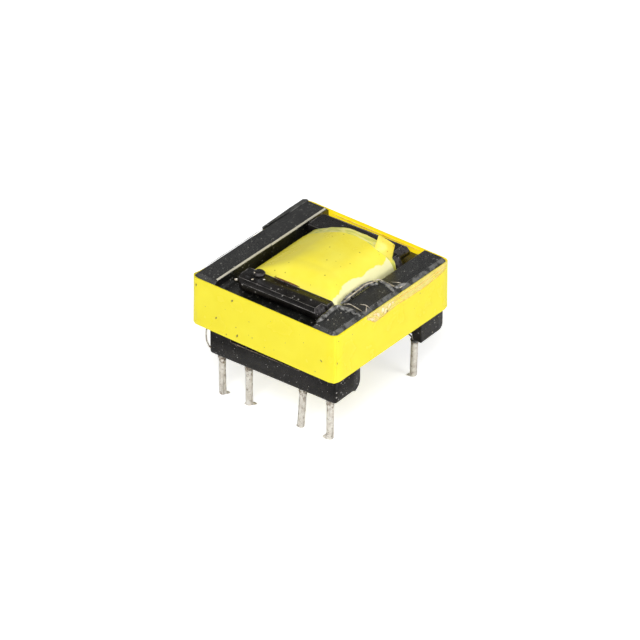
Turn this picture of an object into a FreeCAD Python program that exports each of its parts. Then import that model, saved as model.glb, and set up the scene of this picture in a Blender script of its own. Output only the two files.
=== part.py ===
import FreeCAD, Part
import math
import os
import Sketcher

# A low-profile ferrite transformer for a circuit board.
# Two E-shaped ferrite halves are taped together round a black coil former.
# The former carries the windings, two pin rails and seven tinned pins.
# Millimetres. Z is up, X runs along the pin rows and Y along the tube of the former.
# The origin is the centre of the pin pattern, on the board's surface.

SIZES = [
    # Pin pattern on the board
    ("pin_pitch", 3.81),
    ("pin_diameter", 0.8),
    ("pin_drop", 4.7),
    ("pin_seat_depth", 2.4),
    ("pin_tip_chamfer", 0.15),
    ("pin_hole_clearance", 0.02),
    ("tin_thickness", 0.08),
    ("tin_stop", 0.05),
    ("standoff_height", 0.6),
    # How far the pin rows lie inside the ends of the core
    ("front_pin_inset", 1.65),
    ("rear_pin_inset", 2.95),
    # Ferrite core halves
    ("core_half_length", 10.25),
    ("core_height", 6.6),
    ("core_lift", 4.4),
    ("leg_thickness", 3.15),
    ("window_width", 3.15),
    ("yoke_thickness", 3.2),
    ("recess_depth", 1.35),
    ("recess_corner", 0.45),
    ("centre_leg_width", 7.7),
    ("centre_leg_height", 4.0),
    ("centre_leg_rise", 1.2),
    ("centre_leg_corner", 0.6),
    ("air_gap", 0.3),
    ("core_corner", 0.55),
    ("leg_edge", 0.3),
    ("leg_bevel", 0.45),
    ("half_slip", 0.06),
    # The core sits a little askew on the former
    ("core_turn", 1.5),
    ("core_shift_x", 0.2),
    ("core_shift_y", 0.1),
    # Tape belt round the core
    ("belt_height", 6.2),
    ("belt_rise", 0.1),
    ("belt_thickness", 0.17),
    ("belt_gap", 0.05),
    ("belt_overlap", 4.0),
    ("belt_lap_height", 0.06),
    ("belt_lap_inset", 1.0),
    # Tube of the former
    ("bore_gap_side", 0.45),
    ("bore_gap_height", 0.15),
    ("bore_corner", 0.7),
    ("tube_wall", 0.6),
    ("tube_corner", 0.9),
    # Flanges and the ledges on top of them
    ("yoke_gap", 0.3),
    ("coil_end_gap", 0.05),
    ("flange_thickness", 1.1),
    ("flange_side_gap", 0.6),
    ("flange_shoulder_drop", 1.4),
    ("ledge_rise", 0.23),
    ("ledge_thickness", 1.1),
    ("ledge_length", 2.75),
    ("ledge_left_inset", 0.4),
    ("ledge_right_inset", 0.8),
    ("rear_ledge_length", 3.3),
    ("rear_ledge_left_inset", 0.1),
    ("ledge_bevel_width", 0.5),
    ("ledge_bevel_height", 0.3),
    ("ledge_round", 1.2),
    ("ledge_end_chamfer", 0.7),
    # Mark for the first pin, and the low boss beside it
    ("knob_from_left", 2.3),
    ("knob_from_front", 1.55),
    ("knob_foot_radius", 0.75),
    ("knob_neck_radius", 0.5),
    ("knob_head_radius", 0.72),
    ("knob_foot_height", 0.22),
    ("knob_neck_height", 0.3),
    ("knob_head_height", 0.5),
    ("knob_head_edge", 0.22),
    ("boss_from_left", 0.7),
    ("boss_radius", 0.6),
    ("boss_height", 0.12),
    # Pin rails
    ("rail_end", 1.3),
    ("rail_gap", 0.1),
    ("front_rail_margin", 0.78),
    ("front_block_overhang", 0.85),
    ("rear_rail_margin", 3.53),
    ("rear_block_lap", 0.05),
    ("coil_room_gap", 1.0),
    ("front_rail_round", 1.3),
    ("rear_rail_round", 0.7),
    ("channel_half_width", 4.85),
    ("channel_shift", 1.0),
    ("channel_depth", 1.05),
    ("channel_reach", 2.2),
    # Wire slots beside the pins
    ("slot_shift", 0.62),
    ("slot_width", 0.9),
    ("slot_mouth", 1.8),
    ("slot_height", 1.5),
    ("slot_past_pin", 0.35),
    # Feet that stand on the board
    ("foot_length", 2.0),
    ("foot_width", 1.2),
    ("foot_inset", 1.5),
    ("rear_foot_inset", 0.8),
    # Windings, counted outwards from the tube at its sides
    ("winding_gap", 0.02),
    ("primary_inner_build", 0.5),
    ("insulation_build", 0.08),
    ("secondary_build", 0.42),
    ("outer_tape_build", 0.12),
    ("coil_side_gap", 0.5),
    ("layer_end_gap", 0.01),
    ("margin_tape_width", 2.6),
    ("outer_tape_rear_gap", 0.45),
    ("front_slope_run", 3.0),
    ("front_slope_drop", 1.8),
    ("crown_ratio", 1.45),
    ("shoulder_lean", 0.42),
    ("belly_ratio", 0.45),
    ("belly_drop", 0.88),
    # Loose end of the margin tape, standing up at the rear right
    ("flap_left", 2.7),
    ("flap_width", 3.2),
    ("flap_height", 2.3),
    ("flap_rise", 1.05),
    ("flap_thickness", 0.12),
    # Lead wires
    ("lead_diameter", 0.2),
    ("lead_exit", 0.6),
    ("lead_flange_gap", 0.35),
    ("lead_clearance", 0.02),
    ("lead_start_gap", 0.12),
    ("lead_pitch", 0.205),
    ("lead_run_rise", 0.95),
    # How far a cutting outline runs past what it cuts
    ("cut_margin", 0.1),
]

doc = FreeCAD.newDocument("pcb_transformer")
sheet = doc.addObject("Spreadsheet::Sheet", "Sizes")
for row, (alias, number) in enumerate(SIZES, start=1):
    sheet.set(f"A{row}", alias)
    sheet.set(f"B{row}", str(number))
    sheet.setAlias(f"B{row}", alias)
doc.recompute()


def size(expression):
    """The number that an expression in the sheet's names gives."""
    result = sheet.evalExpression(spell(expression))
    return float(getattr(result, "Value", result))


def spell(expression):
    """Write the sheet's name before each of its aliases."""
    words = {alias for alias, number in SIZES}
    out = []
    word = ""
    for letter in expression + " ":
        if letter.isalnum() or letter == "_":
            word += letter
            continue
        out.append(f"Sizes.{word}" if word in words else word)
        out.append(letter)
        word = ""
    return "".join(out).strip()


def bind(thing, prop, expression):
    """Tie a property to the sheet."""
    thing.setExpression(prop, spell(expression))


# Sizes that follow from the sheet
WINDOW_HALF = "(centre_leg_width / 2 + window_width)"
CORE_HALF = "(centre_leg_width / 2 + window_width + leg_thickness)"
CORE_TOP = "(core_lift + core_height)"
LEG_FLOOR = "(core_lift + centre_leg_rise)"
LEG_ROOF = "(core_lift + centre_leg_rise + centre_leg_height)"
BORE_HALF = "(centre_leg_width / 2 + bore_gap_side)"
BORE_FLOOR = f"({LEG_FLOOR} - bore_gap_height)"
BORE_ROOF = f"({LEG_ROOF} + bore_gap_height)"
TUBE_HALF = f"({BORE_HALF} + tube_wall)"
TUBE_FLOOR = f"({BORE_FLOOR} - tube_wall)"
TUBE_ROOF = f"({BORE_ROOF} + tube_wall)"
FLANGE_OUTER = "(core_half_length - yoke_thickness - yoke_gap)"
FLANGE_INNER = f"({FLANGE_OUTER} - flange_thickness)"
COIL_HALF = f"({FLANGE_INNER} - coil_end_gap)"
FLANGE_HALF = f"({WINDOW_HALF} - flange_side_gap)"
LEDGE_TOP = f"({CORE_TOP} + ledge_rise)"
LEDGE_REACH = f"({FLANGE_INNER} + ledge_length)"
LEDGE_LEFT = f"({FLANGE_HALF} - ledge_left_inset)"
LEDGE_RIGHT = f"({FLANGE_HALF} - ledge_right_inset)"
REAR_LEDGE_REACH = f"({FLANGE_INNER} + rear_ledge_length)"
REAR_LEDGE_LEFT = f"({FLANGE_HALF} - rear_ledge_left_inset)"
KNOB_X = f"(knob_from_left - {LEDGE_LEFT})"
KNOB_Y = f"(knob_from_front - {LEDGE_REACH})"
BOSS_X = f"(boss_from_left - {LEDGE_LEFT})"
RAIL_TOP = "(core_lift - rail_gap)"
RAIL_HALF = "(2 * pin_pitch + rail_end)"
FRONT_PIN_Y = "(core_half_length - front_pin_inset)"
REAR_PIN_Y = "(core_half_length - rear_pin_inset)"
ROW_HALF = f"(({FRONT_PIN_Y} + {REAR_PIN_Y}) / 2)"
TUBE_OFFSET = f"(({FRONT_PIN_Y} - {REAR_PIN_Y}) / 2)"
FRONT_OUTER = f"({FRONT_PIN_Y} + front_rail_margin)"
FRONT_BLOCK = f"({FLANGE_INNER} - front_block_overhang)"
REAR_OUTER = f"({REAR_PIN_Y} + rear_rail_margin)"
REAR_BLOCK = f"({FLANGE_OUTER} - rear_block_lap)"
COIL_SIDE = f"({WINDOW_HALF} - coil_side_gap)"
BLOCK_START = f"({COIL_SIDE} + coil_room_gap)"


def body(label, y="0"):
    """An empty body, shifted along Y by an expression."""
    made = doc.addObject("PartDesign::Body", label)
    made.Label = label
    if y != "0":
        bind(made, "Placement.Base.y", y)
    return made


def sketch(owner, plane, name, normal="0", across="0", up="0"):
    """A sketch on one of the body's own planes, with its origin shifted."""
    made = owner.newObject("Sketcher::SketchObject", name)
    base = next(o for o in owner.Origin.OriginFeatures if o.Role == plane)
    made.AttachmentSupport = [(base, "")]
    made.MapMode = "FlatFace"
    for axis, expression in zip("xyz", (across, up, normal)):
        if expression != "0":
            bind(made, f"AttachmentOffset.Base.{axis}", expression)
    return made


def pin_point(made, geometry, end, x, y, tag):
    """Hold one end of a sketch element at a place given by two expressions."""
    for kind, axis, expression in (("DistanceX", -2, x), ("DistanceY", -1, y)):
        if expression == "0":
            made.addConstraint(Sketcher.Constraint("PointOnObject", geometry, end, axis))
            continue
        held = Sketcher.Constraint(kind, -1, 1, geometry, end, size(expression))
        index = made.addConstraint(held)
        name = f"{kind[-1].lower()}_{tag}"
        made.renameConstraint(index, name)
        bind(made, f"Constraints.{name}", expression)


def outline(made, corners, tag="p"):
    """A closed outline, anticlockwise. A third value makes the side after a corner an arc."""
    first = made.GeometryCount
    count = len(corners)
    places = [FreeCAD.Vector(size(c[0]), size(c[1]), 0) for c in corners]
    for i, corner in enumerate(corners):
        start, end = places[i], places[(i + 1) % count]
        if len(corner) == 2:
            made.addGeometry(Part.LineSegment(start, end), False)
            continue
        radius = size(corner[2])
        chord = end - start
        half = chord.Length / 2
        sagitta = radius - math.sqrt(radius ** 2 - half ** 2)
        outward = FreeCAD.Vector(chord.y, -chord.x, 0).normalize()
        middle = (start + end) * 0.5 + outward * sagitta
        made.addGeometry(Part.Arc(start, middle, end), False)
    for i in range(count):
        following = first + (i + 1) % count
        made.addConstraint(Sketcher.Constraint("Coincident", first + i, 2, following, 1))
    for i, corner in enumerate(corners):
        pin_point(made, first + i, 1, corner[0], corner[1], f"{tag}{i}")
        if len(corner) == 3:
            held = Sketcher.Constraint("Radius", first + i, size(corner[2]))
            index = made.addConstraint(held)
            made.renameConstraint(index, f"radius_{tag}{i}")
            bind(made, f"Constraints.radius_{tag}{i}", corner[2])


def rectangle(made, left, low, right, high, tag="p"):
    """A rectangle from four expressions."""
    outline(made, [(left, low), (right, low), (right, high), (left, high)], tag)


def circle(made, radius, tag="c", x="0", y="0"):
    """A circle from expressions for its radius and centre."""
    place = FreeCAD.Vector(size(x), size(y), 0)
    index = made.addGeometry(Part.Circle(place, FreeCAD.Vector(0, 0, 1), size(radius)), False)
    pin_point(made, index, 3, x, y, tag)
    held = made.addConstraint(Sketcher.Constraint("Radius", index, size(radius)))
    made.renameConstraint(held, f"radius_{tag}")
    bind(made, f"Constraints.radius_{tag}", radius)


def settle(made):
    """Recompute, and stop at a feature that can't be made."""
    doc.recompute()
    if "Invalid" in made.State or made.Shape.isNull() or not made.Shape.isValid():
        raise ValueError(f"{made.Name} can't be made: {made.State}")


def feature(owner, kind, name, profile, length=None, both_ways=False, reverse=False, through=False):
    """A pad or pocket of a sketch, checked by the change of volume that it makes."""
    before = owner.Shape.Volume if owner.Tip and not owner.Shape.isNull() else 0
    made = owner.newObject(f"PartDesign::{kind}", name)
    made.Profile = profile
    profile.Visibility = False
    if both_ways:
        made.Midplane = True
    made.Reversed = reverse
    if through:
        made.Type = "ThroughAll"
    if length:
        bind(made, "Length", length)
    settle(made)
    change = made.Shape.Volume - before
    if change == 0 or (change > 0) != (kind == "Pad"):
        raise ValueError(f"{owner.Label}.{name} changes the volume by {change:.4f}")
    return made


def edges(made, axis, places, low=None, high=None):
    """Names of straight edges along an axis that pass through places across it."""
    index = "XYZ".index(axis)
    others = [k for k in range(3) if k != index]
    found = []
    for number, edge in enumerate(made.Shape.Edges, start=1):
        ends = [v.Point for v in edge.Vertexes]
        if len(ends) != 2 or edge.Curve.TypeId != "Part::GeomLine":
            continue
        if any(abs(ends[0][k] - ends[1][k]) > 1e-6 for k in others):
            continue
        middle = (ends[0][index] + ends[1][index]) / 2
        if low is not None and middle < low or high is not None and middle > high:
            continue
        across = [ends[0][k] for k in others]
        if any(math.dist(across, place) < 1e-4 for place in places):
            found.append(f"Edge{number}")
    if not found:
        raise ValueError(f"{made.Name} has no edge along {axis} at {places}")
    return found


def at(*pairs):
    """Turn pairs of expressions into pairs of numbers."""
    return [(size(a), size(b)) for a, b in pairs]


def soften(owner, kind, name, base, names, expression):
    """A fillet or chamfer of the named edges."""
    made = owner.newObject(f"PartDesign::{kind}", name)
    made.Base = (base, names)
    bind(made, "Radius" if kind == "Fillet" else "Size", expression)
    settle(made)
    return made


# Ferrite halves: a U of yoke and legs, a lowered yoke top and a flat centre leg
def core_half(label, turn, slip):
    """One E-shaped half, its legs pointing to +Y before it is turned into place."""
    half = body(label)
    plan = sketch(half, "XY_Plane", "plan", normal="core_lift")
    outline(plan, [
        (f"-{CORE_HALF}", "-core_half_length"),
        (CORE_HALF, "-core_half_length"),
        (CORE_HALF, "0"),
        (WINDOW_HALF, "0"),
        (WINDOW_HALF, "yoke_thickness - core_half_length"),
        (f"-{WINDOW_HALF}", "yoke_thickness - core_half_length"),
        (f"-{WINDOW_HALF}", "0"),
        (f"-{CORE_HALF}", "0"),
    ])
    legs = feature(half, "Pad", "legs_and_yoke", plan, "core_height")
    section = sketch(half, "XZ_Plane", "recess_section")
    floor = f"({CORE_TOP} - recess_depth)"
    outline(section, [
        (f"-({WINDOW_HALF} - recess_corner)", floor),
        (f"{WINDOW_HALF} - recess_corner", floor, "recess_corner"),
        (WINDOW_HALF, f"{floor} + recess_corner"),
        (WINDOW_HALF, f"{CORE_TOP} + cut_margin"),
        (f"-{WINDOW_HALF}", f"{CORE_TOP} + cut_margin"),
        (f"-{WINDOW_HALF}", f"{floor} + recess_corner", "recess_corner"),
    ])
    feature(half, "Pocket", "yoke_recess", section, both_ways=True, through=True)
    leg_section = sketch(half, "XZ_Plane", "centre_leg_section", normal="air_gap / 2")
    rectangle(leg_section, "-centre_leg_width / 2", LEG_FLOOR, "centre_leg_width / 2", LEG_ROOF)
    depth = "core_half_length - air_gap / 2 - yoke_thickness / 2"
    leg = feature(half, "Pad", "centre_leg", leg_section, depth)
    sides = at(("-centre_leg_width / 2", LEG_FLOOR), ("centre_leg_width / 2", LEG_FLOOR),
               ("-centre_leg_width / 2", LEG_ROOF), ("centre_leg_width / 2", LEG_ROOF))
    leg = soften(half, "Fillet", "centre_leg_corners", leg, edges(leg, "Y", sides), "centre_leg_corner")
    corners = at((CORE_HALF, "-core_half_length"), (f"-{CORE_HALF}", "-core_half_length"))
    leg = soften(half, "Fillet", "outer_corners", leg, edges(leg, "Z", corners), "core_corner")
    ends = edges(leg, "X", at(("-core_half_length", CORE_TOP)))
    sides = edges(leg, "Y", at((CORE_HALF, CORE_TOP), (f"-{CORE_HALF}", CORE_TOP)))
    bevelled = soften(half, "Chamfer", "leg_bevels", leg, ends + sides, "leg_bevel")
    rims = at((WINDOW_HALF, CORE_TOP), (f"-{WINDOW_HALF}", CORE_TOP))
    soften(half, "Fillet", "inner_rims", bevelled, edges(bevelled, "Y", rims), "leg_edge")
    half.Placement.Rotation = FreeCAD.Rotation(FreeCAD.Vector(0, 0, 1), 1)
    bind(half, "Placement.Rotation.Angle", f"{turn} - core_turn")
    bind(half, "Placement.Base.x", f"{slip} * half_slip / 2 - core_shift_x")
    bind(half, "Placement.Base.y", f"{TUBE_OFFSET} - core_shift_y")
    return half


core_half("core_half_front", 0, -1)
core_half("core_half_rear", 180, 1)


# Yellow tape belt: three turns in one band, with the end lapped over at the left
belt = body("core_tape")
belt_plan = sketch(belt, "XY_Plane", "plan", normal="core_lift + belt_rise")
BELT_IN_X = f"({CORE_HALF} + belt_gap)"
BELT_IN_Y = "(core_half_length + belt_gap)"
BELT_OUT_X = f"({BELT_IN_X} + belt_thickness)"
BELT_OUT_Y = f"({BELT_IN_Y} + belt_thickness)"
rectangle(belt_plan, f"-{BELT_OUT_X}", f"-{BELT_OUT_Y}", BELT_OUT_X, BELT_OUT_Y, "o")
rectangle(belt_plan, f"-{BELT_IN_X}", f"-{BELT_IN_Y}", BELT_IN_X, BELT_IN_Y, "i")
band = feature(belt, "Pad", "band", belt_plan, "belt_height")
inner_corners = at(*[(f"{a}{BELT_IN_X}", f"{b}{BELT_IN_Y}") for a in ("", "-") for b in ("", "-")])
band = soften(belt, "Fillet", "inner_corners", band, edges(band, "Z", inner_corners), "core_corner")
outer_corners = at(*[(f"{a}{BELT_OUT_X}", f"{b}{BELT_OUT_Y}") for a in ("", "-") for b in ("", "-")])
band = soften(belt, "Fillet", "outer_corners", band, edges(band, "Z", outer_corners),
              "core_corner + belt_thickness")
lap_plan = sketch(belt, "XY_Plane", "lap_plan", normal="core_lift + belt_rise")
rectangle(lap_plan, f"-{BELT_OUT_X} - belt_lap_height", f"{BELT_OUT_Y} - belt_lap_inset - belt_overlap",
          f"-{BELT_OUT_X} + belt_thickness / 2", f"{BELT_OUT_Y} - belt_lap_inset", "l")
feature(belt, "Pad", "lapped_end", lap_plan, "belt_height")
belt.Placement.Rotation = FreeCAD.Rotation(FreeCAD.Vector(0, 0, 1), 1)
bind(belt, "Placement.Rotation.Angle", "-core_turn")
bind(belt, "Placement.Base.x", "-core_shift_x")
bind(belt, "Placement.Base.y", f"{TUBE_OFFSET} - core_shift_y")


# Coil former, in the frame of its own tube
former = body("bobbin", TUBE_OFFSET)
tube_section = sketch(former, "XZ_Plane", "tube_section")
rectangle(tube_section, f"-{TUBE_HALF}", TUBE_FLOOR, TUBE_HALF, TUBE_ROOF)
tube = feature(former, "Pad", "tube", tube_section, f"2 * {FLANGE_OUTER}", both_ways=True)
tube_edges = at(*[(f"{a}{TUBE_HALF}", b) for a in ("", "-") for b in (TUBE_FLOOR, TUBE_ROOF)])
tube = soften(former, "Fillet", "tube_corners", tube, edges(tube, "Y", tube_edges), "tube_corner")


def flange(tag, side, reach, left, right):
    """A flange plate and its ledge, at the front where side is a minus sign, else at the rear."""
    start = FLANGE_INNER if side else f"-{FLANGE_OUTER}"
    plate_section = sketch(former, "XZ_Plane", f"{tag}_flange_section", normal=start)
    outline(plate_section, [
        (f"-{FLANGE_HALF}", "standoff_height"),
        (FLANGE_HALF, "standoff_height"),
        (FLANGE_HALF, f"{LEDGE_TOP} - flange_shoulder_drop"),
        (right, LEDGE_TOP),
        (f"-{left}", LEDGE_TOP),
        (f"-{FLANGE_HALF}", f"{LEDGE_TOP} - flange_shoulder_drop"),
    ])
    feature(former, "Pad", f"{tag}_flange", plate_section, "flange_thickness")
    ledge_section = sketch(former, "YZ_Plane", f"{tag}_ledge_section", normal=f"-{left}")
    outline(ledge_section, [
        (f"{side}{FLANGE_INNER}", LEDGE_TOP),
        (f"{side}({reach} - ledge_bevel_width)", LEDGE_TOP),
        (f"{side}{reach}", f"{LEDGE_TOP} - ledge_bevel_height"),
        (f"{side}{reach}", f"{LEDGE_TOP} - ledge_thickness"),
        (f"{side}{FLANGE_INNER}", f"{LEDGE_TOP} - ledge_thickness"),
    ])
    return feature(former, "Pad", f"{tag}_ledge", ledge_section, f"{left} + {right}")


flange("front", "-", LEDGE_REACH, LEDGE_LEFT, LEDGE_RIGHT)
ledges = flange("rear", "", REAR_LEDGE_REACH, REAR_LEDGE_LEFT, LEDGE_RIGHT)
left_ends = at((f"-{LEDGE_LEFT}", f"-{LEDGE_REACH}"), (f"-{REAR_LEDGE_LEFT}", REAR_LEDGE_REACH))
rounded_ledge = soften(former, "Fillet", "ledge_left_ends", ledges, edges(ledges, "Z", left_ends), "ledge_round")
right_rims = at((LEDGE_RIGHT, LEDGE_TOP))
right_edges = (edges(rounded_ledge, "Y", right_rims, low=size(FLANGE_OUTER))
               + edges(rounded_ledge, "Y", right_rims, high=-size(FLANGE_OUTER)))
chamfered_ledge = soften(former, "Chamfer", "ledge_right_ends", rounded_ledge, right_edges, "ledge_end_chamfer")

# Bore for the centre legs
bore_section = sketch(former, "XZ_Plane", "bore_section")
rectangle(bore_section, f"-{BORE_HALF}", BORE_FLOOR, BORE_HALF, BORE_ROOF)
bore = feature(former, "Pocket", "bore", bore_section, both_ways=True, through=True)
bore_edges = at(*[(f"{a}{BORE_HALF}", b) for a in ("", "-") for b in (BORE_FLOOR, BORE_ROOF)])
bore = soften(former, "Fillet", "bore_corners", bore, edges(bore, "Y", bore_edges), "bore_corner")

# Front rail, rounded inside, and rear rail, rounded outside
front_section = sketch(former, "YZ_Plane", "front_rail_section")
outline(front_section, [
    (f"-{FRONT_OUTER}", "standoff_height"),
    (f"-{FRONT_BLOCK} - front_rail_round", "standoff_height", "front_rail_round"),
    (f"-{FRONT_BLOCK}", "standoff_height + front_rail_round"),
    (f"-{FRONT_BLOCK}", f"{RAIL_TOP} - front_rail_round", "front_rail_round"),
    (f"-{FRONT_BLOCK} - front_rail_round", RAIL_TOP),
    (f"-{FRONT_OUTER}", RAIL_TOP),
])
feature(former, "Pad", "front_rail", front_section, f"2 * {RAIL_HALF}", both_ways=True)
rear_section = sketch(former, "YZ_Plane", "rear_rail_section")
outline(rear_section, [
    (REAR_BLOCK, "standoff_height"),
    (f"{REAR_OUTER} - rear_rail_round", "standoff_height", "rear_rail_round"),
    (REAR_OUTER, "standoff_height + rear_rail_round"),
    (REAR_OUTER, f"{RAIL_TOP} - rear_rail_round", "rear_rail_round"),
    (f"{REAR_OUTER} - rear_rail_round", RAIL_TOP),
    (REAR_BLOCK, RAIL_TOP),
])
feature(former, "Pad", "rear_rail", rear_section, f"2 * {RAIL_HALF}", both_ways=True)

# Room for the coil between the end blocks of the front rail
clear_plan = sketch(former, "XY_Plane", "coil_room_plan", normal="standoff_height - cut_margin")
rectangle(clear_plan, f"-{BLOCK_START}", f"-{FLANGE_INNER}", BLOCK_START, "0", "r")
feature(former, "Pocket", "coil_room", clear_plan, f"{RAIL_TOP} - standoff_height + 2 * cut_margin", reverse=True)

# Wire channel along the top of the front rail
channel_section = sketch(former, "YZ_Plane", "channel_section", normal="-channel_shift")
rectangle(channel_section, f"-{FRONT_OUTER} - cut_margin", f"{RAIL_TOP} - channel_depth",
          f"channel_reach - {FRONT_OUTER}", f"{RAIL_TOP} + cut_margin")
feature(former, "Pocket", "wire_channel", channel_section, "2 * channel_half_width", both_ways=True)


# Slots for the lead wires, open below and to the coil, one beside each pin place
def slot_outline(section, middle):
    """One tapered slot, wider at its mouth."""
    floor = "standoff_height - cut_margin"
    roof = "standoff_height + slot_height"
    outline(section, [
        (f"{middle} - slot_mouth / 2", floor),
        (f"{middle} + slot_mouth / 2", floor),
        (f"{middle} + slot_width / 2", roof),
        (f"{middle} - slot_width / 2", roof),
    ])


def slots(name, start, length, forward):
    """Cut a slot beside each of five pin places, from a place along Y."""
    section = sketch(former, "XZ_Plane", f"{name}_section", normal=start)
    slot_outline(section, "(slot_shift - 2 * pin_pitch)")
    cut = feature(former, "Pocket", name, section, length, reverse=forward)
    row = former.newObject("PartDesign::LinearPattern", f"{name}_row")
    row.Originals = [cut]
    row.Direction = (next(o for o in former.Origin.OriginFeatures if o.Role == "X_Axis"), [""])
    bind(row, "Length", "3 * pin_pitch")
    row.Occurrences = 4
    former.Tip = row
    settle(row)
    end_section = sketch(former, "XZ_Plane", f"{name}_end_section", normal=start)
    slot_outline(end_section, "(2 * pin_pitch - slot_shift)")
    feature(former, "Pocket", f"{name}_end", end_section, length, reverse=forward)


slots("front_slots", f"({FRONT_BLOCK} - cut_margin)",
      f"{FRONT_PIN_Y} + slot_past_pin - {FRONT_BLOCK} + cut_margin", True)
slots("rear_slots", f"(cut_margin - {FLANGE_INNER})",
      f"{REAR_PIN_Y} + slot_past_pin - {FLANGE_INNER} + cut_margin", False)

# Holes for all ten pin places, from below
for name, row_y in (("front_holes", f"-{FRONT_PIN_Y}"), ("rear_holes", REAR_PIN_Y)):
    hole_plan = sketch(former, "XY_Plane", f"{name}_plan", normal="standoff_height")
    circle(hole_plan, "pin_diameter / 2 - tin_thickness + pin_hole_clearance", "c", "-2 * pin_pitch", row_y)
    hole = feature(former, "Pocket", name, hole_plan, "pin_seat_depth + pin_hole_clearance", reverse=True)
    row = former.newObject("PartDesign::LinearPattern", f"{name}_row")
    row.Originals = [hole]
    row.Direction = (next(o for o in former.Origin.OriginFeatures if o.Role == "X_Axis"), [""])
    bind(row, "Length", "4 * pin_pitch")
    row.Occurrences = 5
    former.Tip = row
    settle(row)

# Feet that hold the rails off the board
foot_plan = sketch(former, "XY_Plane", "feet_plan")
for tag, side in (("a", "-"), ("b", "")):
    near = f"{side}({RAIL_HALF} - foot_inset)"
    far = f"{side}({RAIL_HALF} - foot_inset - foot_length)"
    left, right = (near, far) if side else (far, near)
    rectangle(foot_plan, left, f"-{FLANGE_OUTER}", right, f"foot_width - {FLANGE_OUTER}", f"f{tag}")
    rectangle(foot_plan, left, f"{REAR_OUTER} - rear_foot_inset - foot_width",
              right, f"{REAR_OUTER} - rear_foot_inset", f"r{tag}")
feature(former, "Pad", "feet", foot_plan, "standoff_height + cut_margin / 2")

# Knob that marks the first pin, and the low boss beside it
knob_section = sketch(former, "XZ_Plane", "knob_section", normal=f"-{KNOB_Y}", across=KNOB_X, up=LEDGE_TOP)
NECK_TOP = "(knob_foot_height + knob_neck_height)"
KNOB_TOP = f"({NECK_TOP} + knob_head_height)"
outline(knob_section, [
    ("0", "-cut_margin"),
    ("knob_foot_radius", "-cut_margin"),
    ("knob_foot_radius", "knob_foot_height"),
    ("knob_neck_radius", "knob_foot_height"),
    ("knob_neck_radius", NECK_TOP),
    ("knob_head_radius", NECK_TOP),
    ("knob_head_radius", f"{KNOB_TOP} - knob_head_edge"),
    ("knob_head_radius - knob_head_edge", KNOB_TOP),
    ("0", KNOB_TOP),
])
knob = former.newObject("PartDesign::Revolution", "first_pin_knob")
knob.Profile = knob_section
knob.ReferenceAxis = (knob_section, ["V_Axis"])
knob.Angle = 360
settle(knob)
boss_plan = sketch(former, "XY_Plane", "boss_plan", normal=f"{LEDGE_TOP} - cut_margin")
circle(boss_plan, "boss_radius", "b", BOSS_X, KNOB_Y)
feature(former, "Pad", "low_boss", boss_plan, "boss_height + cut_margin")


# Wound layers: each is a ring whose form bulges more, the further out it lies
def ring_corners(build):
    """Corners of a coil section at a build counted outwards from the tube."""
    half = f"({TUBE_HALF} + {build})"
    left_shoulder = f"({TUBE_ROOF} + winding_gap)"
    right_shoulder = f"({TUBE_ROOF} + winding_gap + shoulder_lean * {build})"
    low = f"({TUBE_FLOOR} - belly_drop * {build})"
    rise = f"(crown_ratio * {build})"
    belly = f"(belly_ratio * {build})"
    chord = f"(4 * {half} ^ 2 + (shoulder_lean * {build}) ^ 2)"
    return [
        (f"-{half}", low, f"({half} ^ 2 + {belly} ^ 2) / (2 * {belly})"),
        (half, low),
        (half, right_shoulder, f"({chord} / 4 + {rise} ^ 2) / (2 * {rise})"),
        (f"-{half}", left_shoulder),
    ]


def coil_form(name, build, front, rear):
    """The full form of the coil at a build, between two places along Y."""
    form = body(name, TUBE_OFFSET)
    section = sketch(form, "XZ_Plane", "section", normal=f"-({front})")
    corners = ring_corners(build)
    outline(section, corners)
    solid = feature(form, "Pad", "form", section, f"({rear}) - ({front})", reverse=True)
    names = edges(solid, "Y", at(*[(c[0], c[1]) for c in corners]))
    soften(form, "Fillet", "corners", solid, names, f"tube_corner + {build}")
    return form


def combine(kind, label, base, tool):
    """Cut, fuse or intersect two shapes."""
    made = doc.addObject(f"Part::{kind}", label)
    made.Label = label
    made.Base = base
    made.Tool = tool
    settle(made)
    return made


def wound_layer(label, inner, outer, front, rear):
    """A ring from one build to another, between two places along Y."""
    outside = coil_form(f"{label}_outside", outer, front, rear)
    inside = coil_form(f"{label}_inside", inner, f"({front}) - cut_margin", f"({rear}) + cut_margin")
    return combine("Cut", label, outside, inside)


BUILDS = ["winding_gap"]
for step in ("primary_inner_build", "insulation_build", "secondary_build", "insulation_build"):
    BUILDS.append(f"({BUILDS[-1]} + {step})")
FULL_BUILD = f"({COIL_SIDE} - {TUBE_HALF})"
BUILDS.append(f"({FULL_BUILD} - outer_tape_build)")
MARGIN_FRONT = f"(margin_tape_width - {COIL_HALF})"
MARGIN_REAR = f"({COIL_HALF} - margin_tape_width)"
TAPE_REAR = f"({COIL_HALF} - outer_tape_rear_gap)"
LAYERS = ["primary_winding_inner", "insulation_tape_inner", "secondary_winding",
          "insulation_tape_outer", "primary_winding_outer"]
for label, inner, outer in zip(LAYERS, BUILDS, BUILDS[1:]):
    wound_layer(label, inner, outer, f"{MARGIN_FRONT} + layer_end_gap", f"{MARGIN_REAR} - layer_end_gap")


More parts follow.
